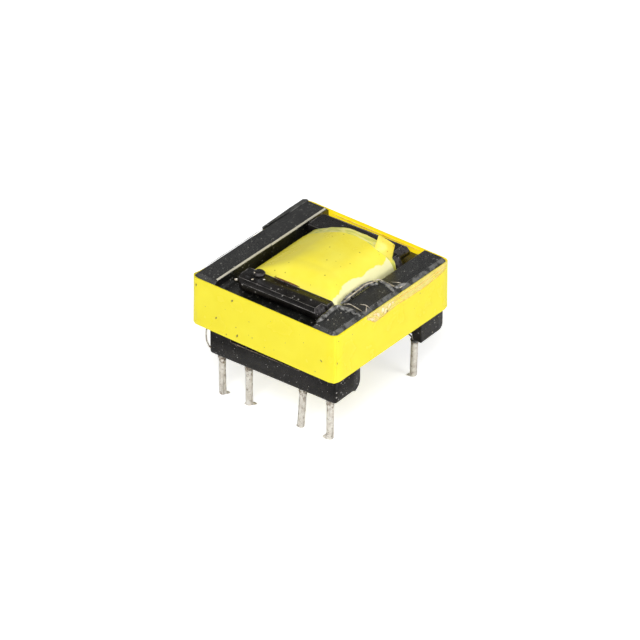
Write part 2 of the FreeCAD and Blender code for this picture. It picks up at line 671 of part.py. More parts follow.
def front_slope(name, inset):
    """The room under the arc along which the tape comes down to the front flange."""
    room = body(name, TUBE_OFFSET)
    section = sketch(room, "YZ_Plane", "section", normal=f"-{CORE_HALF}")
    top = f"({TUBE_ROOF} + winding_gap + (shoulder_lean / 2 + crown_ratio) * {FULL_BUILD})"
    radius = "((front_slope_run ^ 2 + front_slope_drop ^ 2) / (2 * front_slope_drop))"
    reach = f"(front_slope_run - {inset})"
    start = f"({inset} - {COIL_HALF})"
    outline(section, [
        (start, "0"),
        (FLANGE_OUTER, "0"),
        (FLANGE_OUTER, f"{top} - {inset}"),
        (f"{start} + {reach}", f"{top} - {inset}", f"{radius} - {inset}"),
        (start, f"{top} - {radius} + sqrt(({radius} - {inset}) ^ 2 - {reach} ^ 2)"),
    ])
    feature(room, "Pad", "room", section, f"2 * {CORE_HALF}")
    return room


# Outer tape, drawn down over the front end of the coil, and the margin tape under it
tape_outside = combine("Common", "tape_outside", front_slope("slope_outside", "0"),
                       coil_form("full_tape_form", FULL_BUILD, f"-{COIL_HALF}", TAPE_REAR))
tape_inside = combine("Common", "tape_inside", front_slope("slope_inside", "outer_tape_build"),
                      coil_form("inner_tape_form", BUILDS[5], f"outer_tape_build - {COIL_HALF}",
                                f"{TAPE_REAR} + cut_margin"))
tape_skin = combine("Cut", "tape_skin", tape_outside, tape_inside)
tape_bore = coil_form("tape_bore", BUILDS[0], f"-{COIL_HALF} - cut_margin", f"{TAPE_REAR} + cut_margin")
combine("Cut", "outer_tape", tape_skin, tape_bore)
front_ring = combine("Cut", "front_margin_ring", tape_inside, tape_bore)
behind = coil_form("behind_the_front_margin", FULL_BUILD, MARGIN_FRONT, f"{TAPE_REAR} + 2 * cut_margin")
combine("Cut", "margin_tape_front", front_ring, behind)

# Margin tape at the rear, with a loose end
rear_ring = wound_layer("rear_margin_ring", BUILDS[0], BUILDS[5], MARGIN_REAR, COIL_HALF)
flap = body("loose_end", TUBE_OFFSET)
flap_section = sketch(flap, "XZ_Plane", "flap_section", normal=f"-{COIL_HALF}")
# Corners of the torn end, as shares of its width and height
FLAP_CORNERS = [(0, 0), (0.62, 0), (0.84, 0.38), (1, 0.85), (0.28, 1), (0.16, 0.65)]
outline(flap_section, [(f"flap_left + flap_width * {across}", f"{TUBE_ROOF} + flap_rise + flap_height * {up}")
                       for across, up in FLAP_CORNERS])
feature(flap, "Pad", "flap", flap_section, "flap_thickness")
combine("Fuse", "margin_tape_rear", rear_ring, flap)

# Pins: four in front with the middle place empty, three behind
FRONT_PLACES = (-2, -1, 1, 2)
REAR_PLACES = (-2, 0, 2)
PINS = [(f"{i + 1}", place, "-") for i, place in enumerate(FRONT_PLACES)]
PINS += [(f"{i + 1 + len(FRONT_PLACES)}", place, "") for i, place in enumerate(reversed(REAR_PLACES))]
for number, place, side in PINS:
    pin = body(f"pin_{number}", f"{side}{ROW_HALF}")
    bind(pin, "Placement.Base.x", f"{place} * pin_pitch")
    tinned_plan = sketch(pin, "XY_Plane", "tinned_plan", normal="-pin_drop")
    circle(tinned_plan, "pin_diameter / 2")
    tinned = feature(pin, "Pad", "tinned_end", tinned_plan, "pin_drop - tin_stop")
    tip = [f"Edge{k}" for k, edge in enumerate(tinned.Shape.Edges, start=1)
           if edge.Curve.TypeId == "Part::GeomCircle" and edge.BoundBox.ZMax < size("-pin_drop / 2")]
    soften(pin, "Chamfer", "tip", tinned, tip, "pin_tip_chamfer")
    shank_plan = sketch(pin, "XY_Plane", "shank_plan", normal="-pin_drop / 2")
    circle(shank_plan, "pin_diameter / 2 - tin_thickness")
    feature(pin, "Pad", "shank", shank_plan, "pin_drop / 2 + standoff_height + pin_seat_depth")


# Lead wires, drawn six-sided: down from the coil, along a slot and round the pin
TURNS = 1.75
SIDES_A_TURN = 12
WIRE_SIDES = 6


def lead(number, place, side):
    """One wire from the coil's underside to its pin."""
    wire_radius = size("lead_diameter / 2")
    clearance = size("lead_clearance")
    inward = 1 if side else -1
    x_pin = size(f"{place} * pin_pitch")
    slot_side = -1 if place == max(FRONT_PLACES) else 1
    x_slot = x_pin + slot_side * size("slot_shift")
    y_pin = size(f"{side}{ROW_HALF}")
    coil_end = size(f"{TUBE_OFFSET} - {inward} * ({COIL_HALF} - lead_exit)")
    y_drop = size(f"{TUBE_OFFSET} - {inward} * ({FLANGE_INNER} - lead_flange_gap)")
    half = size(COIL_SIDE)
    corner = size(f"tube_corner + {FULL_BUILD}")
    x_coil = math.copysign(min(abs(x_slot), half - corner / 2), x_slot)
    bulge = size(f"belly_ratio * {FULL_BUILD}") * (1 - (x_coil / half) ** 2)
    past_flat = max(0, abs(x_coil) - half + corner)
    rounding = corner - math.sqrt(corner ** 2 - past_flat ** 2)
    z_coil = size(f"{TUBE_FLOOR} - belly_drop * {FULL_BUILD}") - bulge + rounding - wire_radius
    z_run = size("standoff_height + lead_run_rise")
    z_turn = size("standoff_height") - wire_radius - clearance
    turn_radius = size("pin_diameter / 2 - tin_thickness") + wire_radius + clearance
    points = [
        FreeCAD.Vector(x_coil, coil_end, z_coil - size("lead_start_gap")),
        FreeCAD.Vector(x_slot, y_drop, z_run),
        FreeCAD.Vector(x_slot, y_pin + inward * 2 * turn_radius, z_run),
    ]
    steps = round(TURNS * SIDES_A_TURN)
    for step in range(steps + 1):
        angle = 2 * math.pi * step / SIDES_A_TURN
        points.append(FreeCAD.Vector(x_pin + slot_side * turn_radius * math.cos(angle),
                                     y_pin - inward * turn_radius * math.sin(angle),
                                     z_turn - size("lead_pitch") * step / SIDES_A_TURN))
    path = Part.makePolygon(points)
    along = (points[1] - points[0]).normalize()
    across = along.cross(FreeCAD.Vector(1, 0, 0)).normalize()
    spin = FreeCAD.Rotation(along, 360 / WIRE_SIDES)
    corners = [points[0] + across * wire_radius]
    for side_number in range(WIRE_SIDES):
        corners.append(points[0] + spin.multVec(corners[-1] - points[0]))
    made = doc.addObject("Part::Feature", f"lead_{number}")
    made.Label = f"lead_{number}"
    made.Shape = path.makePipeShell([Part.makePolygon(corners)], True, False, 1)
    settle(made)


for number, place, side in PINS:
    lead(number, place, side)

doc.recompute()
failed = [o.Name for o in doc.Objects if "Invalid" in o.State or "Error" in o.State]
if failed:
    raise ValueError(f"not made: {failed}")
NODES = ["core_half_front", "core_half_rear", "core_tape", "bobbin", "primary_winding_inner",
         "insulation_tape_inner", "secondary_winding", "insulation_tape_outer", "primary_winding_outer",
         "outer_tape", "margin_tape_front", "margin_tape_rear"]
NODES += [f"{kind}_{number}" for kind in ("pin", "lead") for number, place, side in PINS]
os.makedirs("parts", exist_ok=True)
for label in NODES:
    made = doc.getObjectsByLabel(label)[0]
    shape = made.Shape
    if shape.isNull() or not shape.isValid() or len(shape.Solids) != 1:
        raise ValueError(f"{label} has {len(shape.Solids)} solids, valid {shape.isValid()}")
    shape.exportStep(f"parts/{label}.step")
    box = shape.BoundBox
    print(f"{label}: {shape.Volume:.3f} mm3, x {box.XMin:.2f} {box.XMax:.2f},"
          f" y {box.YMin:.2f} {box.YMax:.2f}, z {box.ZMin:.2f} {box.ZMax:.2f}")
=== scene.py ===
import logging
import math
import random
from collections.abc import Callable
from dataclasses import dataclass
from enum import Enum

import bmesh
import bpy
from mathutils import Matrix, Quaternion, Vector, noise


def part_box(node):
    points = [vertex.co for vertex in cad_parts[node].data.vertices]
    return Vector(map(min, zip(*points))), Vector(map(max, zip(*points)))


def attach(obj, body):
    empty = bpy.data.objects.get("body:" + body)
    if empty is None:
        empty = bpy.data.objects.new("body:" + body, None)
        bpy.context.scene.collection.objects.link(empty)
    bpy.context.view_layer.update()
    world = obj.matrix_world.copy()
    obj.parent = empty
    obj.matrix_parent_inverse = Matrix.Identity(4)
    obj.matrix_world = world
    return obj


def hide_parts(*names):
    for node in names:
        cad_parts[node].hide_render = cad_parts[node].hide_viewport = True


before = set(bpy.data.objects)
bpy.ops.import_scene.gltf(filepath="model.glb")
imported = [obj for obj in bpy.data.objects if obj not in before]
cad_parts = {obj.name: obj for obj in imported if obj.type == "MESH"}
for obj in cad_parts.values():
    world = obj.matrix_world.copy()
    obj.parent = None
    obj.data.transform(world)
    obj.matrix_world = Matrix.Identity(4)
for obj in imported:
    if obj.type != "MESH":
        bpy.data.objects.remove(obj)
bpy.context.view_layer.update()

# Looks of a low-profile ferrite transformer for a circuit board.
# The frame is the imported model's: Z is up and X runs along the pin rows.
# Places and sizes are in millimetres, and MM turns them into metres where a mesh is made.

MM = 0.001
LOG = logging.getLogger("transformer")
Point = tuple[float, float, float]
Box = tuple[Point, Point]
Colour = tuple[float, float, float]
Inputs = dict[str | int, object]
Value = float | bpy.types.NodeSocket
Tint = Colour | bpy.types.NodeSocket


class Wiring:
    """A node tree with short ways to add nodes and join them."""

    def __init__(self, tree: bpy.types.NodeTree) -> None:
        """Take over a tree.

        Args:
            tree: A material's, group's or world's node tree.
        """
        self.tree = tree

    def add(self, kind: str, inputs: Inputs | None = None, **settings: object) -> bpy.types.Node:
        """Add a node.

        Args:
            kind: The node's type name.
            inputs: Values or output sockets for its inputs, by name or index.
            settings: Values for the node's own properties.

        Returns:
            The new node.
        """
        node = self.tree.nodes.new(kind)
        for name, value in settings.items():
            setattr(node, name, value)
        for name, value in (inputs or {}).items():
            self.give(node.inputs[name], value)
        return node

    def give(self, socket: bpy.types.NodeSocket, value: object) -> None:
        """Set an input, or join it to an output.

        Args:
            socket: The input.
            value: A value or an output socket.
        """
        if isinstance(value, bpy.types.NodeSocket):
            self.tree.links.new(value, socket)
        else:
            socket.default_value = value

    def math(self, operation: str, first: Value, second: Value = 0.0,
             clamp: bool = False) -> bpy.types.NodeSocket:
        """Join a Math node.

        Args:
            operation: The operation's name.
            first: A value or socket.
            second: A value or socket.
            clamp: Whether the result is kept from 0 to 1.

        Returns:
            The result's socket.
        """
        node = self.add("ShaderNodeMath", {0: first, 1: second}, operation=operation, use_clamp=clamp)
        return node.outputs[0]

    def times(self, first: Value, *others: Value) -> bpy.types.NodeSocket:
        """Multiply values, or masks that must all hold.

        Args:
            first: A value or socket.
            others: More of them.

        Returns:
            The product's socket.
        """
        for other in others:
            first = self.math("MULTIPLY", first, other)
        return first

    def between(self, value: Value, low: Value, high: Value) -> bpy.types.NodeSocket:
        """Mask where a value lies in a range.

        Args:
            value: The value's socket.
            low: The range's low end.
            high: Its high end.

        Returns:
            The mask's socket.
        """
        return self.times(self.math("GREATER_THAN", value, low), self.math("LESS_THAN", value, high))

    def blend(self, factor: Value, low: Tint, high: Tint) -> bpy.types.NodeSocket:
        """Mix two colours.

        Args:
            factor: A value or socket from 0 to 1.
            low: The colour at 0, as a tuple or socket.
            high: The colour at 1, as a tuple or socket.

        Returns:
            The mixed colour's socket.
        """
        node = self.add("ShaderNodeMix", data_type="RGBA", clamp_factor=True)
        given = {"Factor_Float": factor, "A_Color": low, "B_Color": high}
        for socket in node.inputs:
            if socket.identifier in given:
                value = given[socket.identifier]
                self.give(socket, (*value, 1.0) if isinstance(value, tuple) else value)
        return next(socket for socket in node.outputs if socket.identifier == "Result_Color")

    def remap(self, value: Value, low: float, high: float, to_low: float = 0.0,
              to_high: float = 1.0) -> bpy.types.NodeSocket:
        """Map a range of values to another, clamped.

        Args:
            value: A socket.
            low: The value that becomes to_low.
            high: The value that becomes to_high.
            to_low: Result at low.
            to_high: Result at high.

        Returns:
            The result's socket.
        """
        node = self.add("ShaderNodeMapRange", {0: value, 1: low, 2: high, 3: to_low, 4: to_high}, clamp=True)
        return node.outputs[0]

    def split(self, vector: bpy.types.NodeSocket) -> bpy.types.NodeOutputs:
        """A vector's three parts."""
        return self.add("ShaderNodeSeparateXYZ", {0: vector}).outputs

    def noise(self, place: bpy.types.NodeSocket, scale: Value, detail: float = 3.0,
              roughness: float = 0.5) -> bpy.types.NodeSocket:
        """Noise over a place.

        Args:
            place: The place's socket.
            scale: Waves in a unit of it.
            detail: Octaves.
            roughness: How strong the finer octaves are.

        Returns:
            The noise's socket, from 0 to 1.
        """
        given = {"Vector": place, "Scale": scale, "Detail": detail, "Roughness": roughness}
        return self.add("ShaderNodeTexNoise", given).outputs["Fac"]


@dataclass
class Group:
    """A shader node group in the making."""

    tree: bpy.types.NodeTree
    wires: Wiring
    given: bpy.types.NodeOutputs
    result: bpy.types.NodeInputs

    @classmethod
    def start(cls, name: str, inputs: dict[str, float], *outputs: str) -> "Group":
        """Make an empty group.

        Args:
            name: The group's name.
            inputs: Names and defaults of its value inputs. It always has a place as well.
            outputs: Names of its value outputs.

        Returns:
            The group.
        """
        tree = bpy.data.node_groups.new(name, "ShaderNodeTree")
        tree.interface.new_socket(name="Place", in_out="INPUT", socket_type="NodeSocketVector")
        for label, value in inputs.items():
            socket = tree.interface.new_socket(name=label, in_out="INPUT", socket_type="NodeSocketFloat")
            socket.default_value = value
        for label in outputs:
            tree.interface.new_socket(name=label, in_out="OUTPUT", socket_type="NodeSocketFloat")
        wires = Wiring(tree)
        return cls(tree, wires, wires.add("NodeGroupInput").outputs, wires.add("NodeGroupOutput").inputs)


class ShaderGroups:
    """Effects that several finishes share, each built once as a node group."""

    def __init__(self) -> None:
        """Build the groups."""
        self.specks = self._specks()
        self.slant_highlight = self._slant_highlight()
        self.grain = self._grain()

    @staticmethod
    def _specks() -> bpy.types.NodeTree:
        """Sparse dots of dirt or dust.

        Returns:
            The group, which puts out a mask.
        """
        group = Group.start("specks", {"Scale": 2.0, "Size": 0.12, "Share": 0.1, "Shift": 0.0}, "Mask")
        wires, given = group.wires, group.given
        moved = wires.add("ShaderNodeVectorMath", {0: given["Place"], 1: given["Shift"]}, operation="ADD")
        cells = wires.add("ShaderNodeTexVoronoi", {"Vector": moved.outputs[0], "Scale": given["Scale"]})
        chosen = wires.add("ShaderNodeSeparateColor", {0: cells.outputs["Color"]})
        kept = wires.math("LESS_THAN", chosen.outputs[0], given["Share"])
        wide = wires.times(given["Size"], chosen.outputs[1])
        near = wires.math("SUBTRACT", wide, cells.outputs["Distance"])
        soft = wires.math("MULTIPLY", near, 30.0, clamp=True)
        wires.give(group.result["Mask"], wires.times(soft, kept))
        return group.tree

    @staticmethod
    def _slant_highlight() -> bpy.types.NodeTree:
        """Bevels and rounded edges that face up aslant, broken up by noise, where the finishes paint a
        highlight.

        Returns:
            The group, which puts out a mask.
        """
        group = Group.start("slant_highlight", {"Low": 0.2, "High": 0.93, "Breaks": 1.5}, "Mask")
        wires, given = group.wires, group.given
        up = wires.split(wires.add("ShaderNodeNewGeometry").outputs["True Normal"])["Z"]
        share = wires.remap(wires.noise(given["Place"], given["Breaks"], 4.0), 0.40, 0.54, 0.1, 1.0)
        wires.give(group.result["Mask"], wires.times(wires.between(up, given["Low"], given["High"]), share))
        return group.tree

    @staticmethod
    def _grain() -> bpy.types.NodeTree:
        """Fine grain on two scales.

        Returns:
            The group, which puts out a height from 0 to 1 and a slower cloud.
        """
        group = Group.start("grain", {"Fine": 12.0, "Coarse": 1.0}, "Height", "Cloud")
        place = group.given["Place"]
        group.wires.give(group.result["Height"], group.wires.noise(place, group.given["Fine"], 5.0, 0.65))
        group.wires.give(group.result["Cloud"], group.wires.noise(place, group.given["Coarse"], 3.0))
        return group.tree


GROUPS = ShaderGroups()


class Paint(Wiring):
    """A material's node tree, with its shader and object coordinates in millimetres."""

    def __init__(self, material: bpy.types.Material) -> None:
        """Empty a material and give it a shader.

        Args:
            material: The material.
        """
        material.use_nodes = True
        super().__init__(material.node_tree)
        self.tree.nodes.clear()
        self.shader = self.add("ShaderNodeBsdfPrincipled")
        self.add("ShaderNodeOutputMaterial", {"Surface": self.shader.outputs[0]})
        metres = self.add("ShaderNodeTexCoord").outputs["Object"]
        scaled = self.add("ShaderNodeVectorMath", {0: metres, 1: (1 / MM,) * 3}, operation="MULTIPLY")
        self.place = scaled.outputs[0]

    def put(self, **values: object) -> None:
        """Set or join the shader's inputs.

        Args:
            values: Values or sockets by the inputs' names, with a low line for each space.
        """
        for name, value in values.items():
            self.give(self.shader.inputs[name.replace("_", " ")], value)

    def effect(self, tree: bpy.types.NodeTree, **values: float) -> bpy.types.NodeOutputs:
        """Place a shared group.

        Args:
            tree: The group.
            values: The group's own values.

        Returns:
            Its outputs.
        """
        return self.add("ShaderNodeGroup", {"Place": self.place, **values}, node_tree=tree).outputs

    def specks(self, strength: float, colour: Tint, speck: Colour, **values: float) -> bpy.types.NodeSocket:
        """Strew specks over a colour.

        Args:
            strength: How much of a speck's colour is taken.
            colour: The colour below.
            speck: The specks' colour.
            values: The group's own values.

        Returns:
            The colour's socket.
        """
        mask = self.effect(GROUPS.specks, **values)[0]
        return self.blend(self.times(mask, strength), colour, speck)

    def bump(self, height: bpy.types.NodeSocket, strength: float, depth_mm: float,
             edge_round: float = 0.0) -> None:
        """Join a bump to the shader's normal.

        Args:
            height: The height's socket, from 0 to 1.
            strength: How much of the bump is taken.
            depth_mm: The height of 1, in millimetres.
            edge_round: The radius in millimetres to which edges look rounded below it.
        """
        given = {"Strength": strength, "Distance": depth_mm * MM, "Height": height}
        node = self.add("ShaderNodeBump", given)
        if edge_round:
            soft = self.add("ShaderNodeBevel", {"Radius": edge_round * MM}, samples=6)
            self.give(node.inputs["Normal"], soft.outputs[0])
        self.put(Normal=node.outputs[0])


class Finish:
    """A surface finish that makes its own material."""

    name: str

    def wire(self, paint: Paint) -> None:
        """Join the finish's nodes to the shader.

        Args:
            paint: The material's nodes.
        """
        raise NotImplementedError

    def material(self) -> bpy.types.Material:
        """The finish's material, made at its first use.

        Returns:
            The material.
        """
        label = f"finish_{self.name}"
        found = bpy.data.materials.get(label)
        if found:
            return found
        made = bpy.data.materials.new(label)
        self.wire(Paint(made))
        return made


@dataclass(frozen=True)
class FerriteFinish(Finish):
    """Ground ferrite: dark, finely speckled, with a painted highlight on its up-slanted bevels and on the
    left bar's inner rim.
    """

    name: str = "ferrite"
    dark: Colour = (0.005, 0.0052, 0.0046)
    pale: Colour = (0.014, 0.0145, 0.013)
    index: float = 1.66
    edge_round: float = 0.08
    speck: Colour = (0.20, 0.195, 0.175)
    # Painted highlight: the colour that bevels facing up aslant are lightened to.
    edge: Colour = (0.15, 0.15, 0.145)
    # Painted highlight: the cream colour of the left bar's inner top edge, and below it the box it is
    # painted in.
    rim: Colour = (0.74, 0.70, 0.56)
    rim_highlight_x: tuple[float, float] = (-7.9, -6.2)
    rim_highlight_y: tuple[float, float] = (-8.9, 10.55)
    rim_highlight_floor: float = 10.5
    edge_highlight_from: float = 8.6
    dust: Colour = (0.36, 0.35, 0.32)

    def wire(self, paint: Paint) -> None:
        """Join grain, specks, the painted bevel highlight and the painted highlight on the inner rim.

        Args:
            paint: The material's nodes.
        """
        parts = paint.split(paint.place)
        grain = paint.effect(GROUPS.grain, Fine=9.0, Coarse=0.6)
        colour = paint.blend(paint.remap(grain["Cloud"], 0.35, 0.65), self.dark, self.pale)
        colour = paint.specks(0.7, colour, self.speck, Scale=5.0, Size=0.42, Share=0.22, Shift=3.0)
        colour = paint.specks(0.8, colour, self.dust, Scale=2.6, Size=0.27, Share=0.4, Shift=9.0)
        # Painted highlight: bevels facing up aslant turn paler, strongly on the right bar and faintly
        # elsewhere.
        edge_highlight_zone = paint.remap(parts["X"], self.edge_highlight_from, self.edge_highlight_from + 0.3, 0.12, 0.9)
        edges = paint.effect(GROUPS.slant_highlight, Breaks=1.3)[0]
        colour = paint.blend(paint.times(edges, edge_highlight_zone), colour, self.edge)
        # Painted highlight: the left bar's inner top edge turns cream where it slants up.
        rim = paint.effect(GROUPS.slant_highlight, Low=0.45, High=0.97, Breaks=0.0)[0]
        inner = paint.times(paint.between(parts["X"], *self.rim_highlight_x), paint.between(parts["Y"], *self.rim_highlight_y))
        upper = paint.math("GREATER_THAN", parts["Z"], self.rim_highlight_floor)
        paint.put(Base_Color=paint.blend(paint.times(rim, inner, upper), colour, self.rim), IOR=self.index,
                  Roughness=paint.remap(grain["Height"], 0.3, 0.7, 0.22, 0.38))
        paint.bump(grain["Height"], 0.8, 0.03, self.edge_round)


@dataclass(frozen=True)
class TapeFinish(Finish):
    """Yellow polyester tape: glossy film with faint unevenness and specks of dirt."""

    name: str
    bright: Colour = (0.91, 0.80, 0.034)
    deep: Colour = (0.88, 0.76, 0.022)
    dirt: Colour = (0.22, 0.17, 0.01)
    dirt_share: float = 0.05
    waves: float = 0.35
    roughness: float = 0.24
    damp: Colour = (0.97, 0.93, 0.50)
    damp_from: float = 0.0
    # Painted light: the colour of the glow on inner faces at the rear, standing in for light through the
    # tape.
    glow: Colour = (1.0, 0.66, 0.0)
    painted_glow: float = 0.0
    painted_glow_from: float = 9.0

    def wire(self, paint: Paint) -> None:
        """Join cloud, dirt, the film's faint waves, the varnish that soaks it and a painted glow that stands
        in for light shining through it.

        Args:
            paint: The material's nodes.
        """
        parts = paint.split(paint.place)
        grain = paint.effect(GROUPS.grain, Fine=3.0, Coarse=0.35)
        cloud = paint.remap(grain["Cloud"], 0.3, 0.7)
        colour = paint.blend(cloud, self.bright, self.deep)
        colour = paint.specks(0.08, colour, self.dirt, Scale=3.5, Size=0.25, Share=0.03, Shift=1.0)
        colour = paint.specks(0.6, colour, self.dirt, Scale=2.2, Size=0.28, Share=self.dirt_share, Shift=7.0)
        if self.damp_from:
            swing = paint.remap(paint.noise(paint.place, 0.35, 4.0), 0.3, 0.7, -0.5, 0.5)
            across = paint.math("ADD", parts["X"], swing)
            soaked = paint.remap(across, self.damp_from, self.damp_from + 0.12)
            colour = paint.blend(soaked, colour, self.damp)
        rough = paint.remap(grain["Cloud"], 0.3, 0.7, self.roughness - 0.03, self.roughness + 0.05)
        paint.put(Base_Color=colour, Specular_IOR_Level=0.3, Roughness=rough)
        # Painted light: inner faces at the rear glow, as if lit through the tape.
        if self.painted_glow:
            forward = paint.split(paint.add("ShaderNodeNewGeometry").outputs["True Normal"])["Y"]
            behind = paint.math("GREATER_THAN", parts["Y"], self.painted_glow_from)
            inner = paint.times(behind, paint.math("LESS_THAN", forward, -0.6), self.painted_glow)
            paint.put(Emission_Color=(*self.glow, 1.0), Emission_Strength=inner)
        paint.bump(paint.noise(paint.place, self.waves, 2.0), 0.35, 0.1)


@dataclass(frozen=True)
class MouldedFinish(Finish):
    """Moulded black phenolic: satin, faintly mottled, with white dust and a painted highlight on its
    up-slanted edges.
    """

    name: str = "bobbin_black"
    dark: Colour = (0.005, 0.0044, 0.004)
    pale: Colour = (0.016, 0.014, 0.013)
    dust: Colour = (0.42, 0.40, 0.38)
    # Painted highlight: the colour that faces slanting up near the edges are lightened to.
    edge: Colour = (0.16, 0.145, 0.15)
    edge_round: float = 0.35

    def wire(self, paint: Paint) -> None:
        """Join mottle, dust, the painted edge highlight and the mould's texture.

        Args:
            paint: The material's nodes.
        """
        grain = paint.effect(GROUPS.grain, Fine=6.5, Coarse=0.9)
        # Painted highlight: faces that slant up near the edges get part of the paler edge colour.
        slant_highlight = paint.effect(GROUPS.slant_highlight, Low=0.25, High=0.84, Breaks=2.4)[0]
        colour = paint.blend(paint.remap(grain["Cloud"], 0.35, 0.65), self.dark, self.pale)
        colour = paint.specks(0.6, colour, self.dust, Scale=2.6, Size=0.32, Share=0.25, Shift=5.0)
        paint.put(Base_Color=paint.blend(paint.times(slant_highlight, 0.35), colour, self.edge),
                  Specular_IOR_Level=0.22, Roughness=paint.remap(grain["Height"], 0.3, 0.7, 0.22, 0.38))
        paint.bump(grain["Height"], 0.6, 0.06, self.edge_round)


@dataclass(frozen=True)
class FilmFinish(Finish):
    """Pale margin tape, soaked with varnish: greenish, cloudy and a little clear."""

    name: str = "margin_film"
    pale: Colour = (0.88, 0.86, 0.40)
    green: Colour = (0.52, 0.58, 0.14)
    yellow: Colour = (0.92, 0.84, 0.13)

    def wire(self, paint: Paint) -> None:
        """Join streaks and folds.

        Args:
            paint: The material's nodes.
        """
        streaks = paint.add("ShaderNodeMapping", {"Vector": paint.place, "Scale": (0.5, 2.2, 1.2)})
        tone = paint.noise(streaks.outputs[0], 1.3, 4.0)
        colour = paint.blend(paint.remap(tone, 0.35, 0.55), self.green, self.yellow)
        paint.put(Base_Color=paint.blend(paint.remap(tone, 0.52, 0.68), colour, self.pale), Roughness=0.2)
        paint.bump(tone, 0.6, 0.08)


@dataclass(frozen=True)
class CopperFinish(Finish):
    """Enamelled copper wire, close wound across Y."""

    name: str = "enamelled_copper"
    dark: Colour = (0.28, 0.085, 0.022)
    pale: Colour = (0.60, 0.24, 0.075)
    wire_width: float = 0.3

    def wire(self, paint: Paint) -> None:
        """Join the turns, with painted shade in the grooves between them, and the enamel's cloud.

        Args:
            paint: The material's nodes.
        """
        # Painted shade: each turn is darker in the groove beside its neighbour and paler on its crest.
        phase = paint.times(paint.split(paint.place)["Y"], math.tau / self.wire_width)
        turns = paint.remap(paint.math("SINE", phase), -1.0, 1.0)
        paint.put(Base_Color=paint.blend(turns, self.dark, self.pale), Metallic=0.85, Coat_Weight=0.4,
                  Roughness=paint.remap(paint.noise(paint.place, 2.0), 0.3, 0.7, 0.22, 0.4))
        paint.bump(turns, 0.8, 0.1)


@dataclass(frozen=True)
class TinFinish(Finish):
    """Dipped tin on wire: dull, lumpy, stained with flux."""

    name: str = "dipped_tin"
    bright: Colour = (0.85, 0.82, 0.75)
    dull: Colour = (0.66, 0.61, 0.53)
    flux: Colour = (0.13, 0.075, 0.028)
    # Painted reflection: the colour of the dark upright lines along the pins.
    painted_reflection_streak: Colour = (0.30, 0.27, 0.22)
    stain_low: float = 0.56
    stain_high: float = 0.70

    def wire(self, paint: Paint) -> None:
        """Join tarnish, flux stains, painted dark reflection streaks and lumps.

        Args:
            paint: The material's nodes.
        """
        grain = paint.effect(GROUPS.grain, Fine=5.0, Coarse=1.4)
        colour = paint.blend(paint.remap(grain["Cloud"], 0.35, 0.65), self.bright, self.dull)
        # Painted reflection: narrow upright dark streaks stand in for dark lines reflected along the pins.
        reflection_stretch = paint.add("ShaderNodeMapping", {"Vector": paint.place, "Scale": (2.6, 2.6, 0.22)})
        streaks = paint.remap(paint.noise(reflection_stretch.outputs[0], 1.0, 3.0), 0.52, 0.66)
        colour = paint.blend(paint.times(streaks, 0.6), colour, self.painted_reflection_streak)
        root = paint.remap(paint.split(paint.place)["Z"], -0.9, -0.1, 0.0, 0.12)
        spots = paint.math("ADD", paint.noise(paint.place, 2.6, 4.0, 0.6), root)
        stain = paint.remap(spots, self.stain_low, self.stain_high)
        paint.put(Base_Color=paint.blend(paint.times(stain, 0.85), colour, self.flux),
                  Metallic=paint.times(paint.math("SUBTRACT", 1.0, stain), 0.45),
                  Roughness=paint.remap(grain["Height"], 0.3, 0.7, 0.26, 0.46))
        paint.bump(grain["Height"], 0.6, 0.05)


@dataclass(frozen=True)
class VarnishFinish(Finish):
    """Varnish, resin or the dirt in it: glossy and uneven in tone, clear in patches where its cover is below
    one; on some finishes the paler tone is a painted highlight.
    """

    name: str
    deep: Colour
    pale_and_sheen: Colour
    roughness: float = 0.12
    cover: float = 1.0
    waves: float = 1.9
    dimples: float = 0.5

    def wire(self, paint: Paint) -> None:
        """Join the tone, the cover and fine dimples.

        Args:
            paint: The material's nodes.
        """
        tone = paint.remap(paint.noise(paint.place, self.waves, 4.0, 0.55), 0.36, 0.64)
        paint.put(Base_Color=paint.blend(tone, self.deep, self.pale_and_sheen), Roughness=self.roughness,
                  Specular_IOR_Level=0.6)
        if self.cover < 1.0:
            cloud = paint.noise(paint.place, 0.5, 3.0, 0.5)
            paint.put(Alpha=paint.remap(cloud, 0.3, 0.7, self.cover * 0.5, self.cover * 1.5))
        paint.bump(paint.noise(paint.place, 4.0, 3.0), self.dimples, 0.05)


FERRITE = FerriteFinish()
FERRITE_EDGE = FerriteFinish("ferrite_edge", dark=(0.02, 0.02, 0.018), pale=(0.06, 0.06, 0.055),
                             edge=(0.10, 0.10, 0.095))
# Pale ferrite for chips and scratches, and for the painted highlight lines along edges.
FERRITE_CHIP_AND_HIGHLIGHT = FerriteFinish("ferrite_chip_and_highlight", dark=(0.10, 0.10, 0.095), pale=(0.20, 0.20, 0.19))
# The belt's tape has a painted glow on its rear inner face.
BELT_TAPE = TapeFinish("belt_tape", painted_glow=0.55)
# Brighter and paler than the belt's tape: partly its own tone, partly painted light for its lit top.
COIL_TAPE = TapeFinish("coil_tape", bright=(0.97, 0.86, 0.09), deep=(0.94, 0.80, 0.05), dirt_share=0.16,
                       waves=0.6, damp_from=5.3)
INNER_TAPE = TapeFinish("insulation_tape", dirt_share=0.0)
FLAP = TapeFinish("film_flap", bright=(0.93, 0.84, 0.16), deep=(0.84, 0.66, 0.06), dirt=(0.55, 0.26, 0.02),
                  dirt_share=0.6, waves=1.6)
BLACK = MouldedFinish()
FILM = FilmFinish()
COPPER = CopperFinish()
TIN = TinFinish()
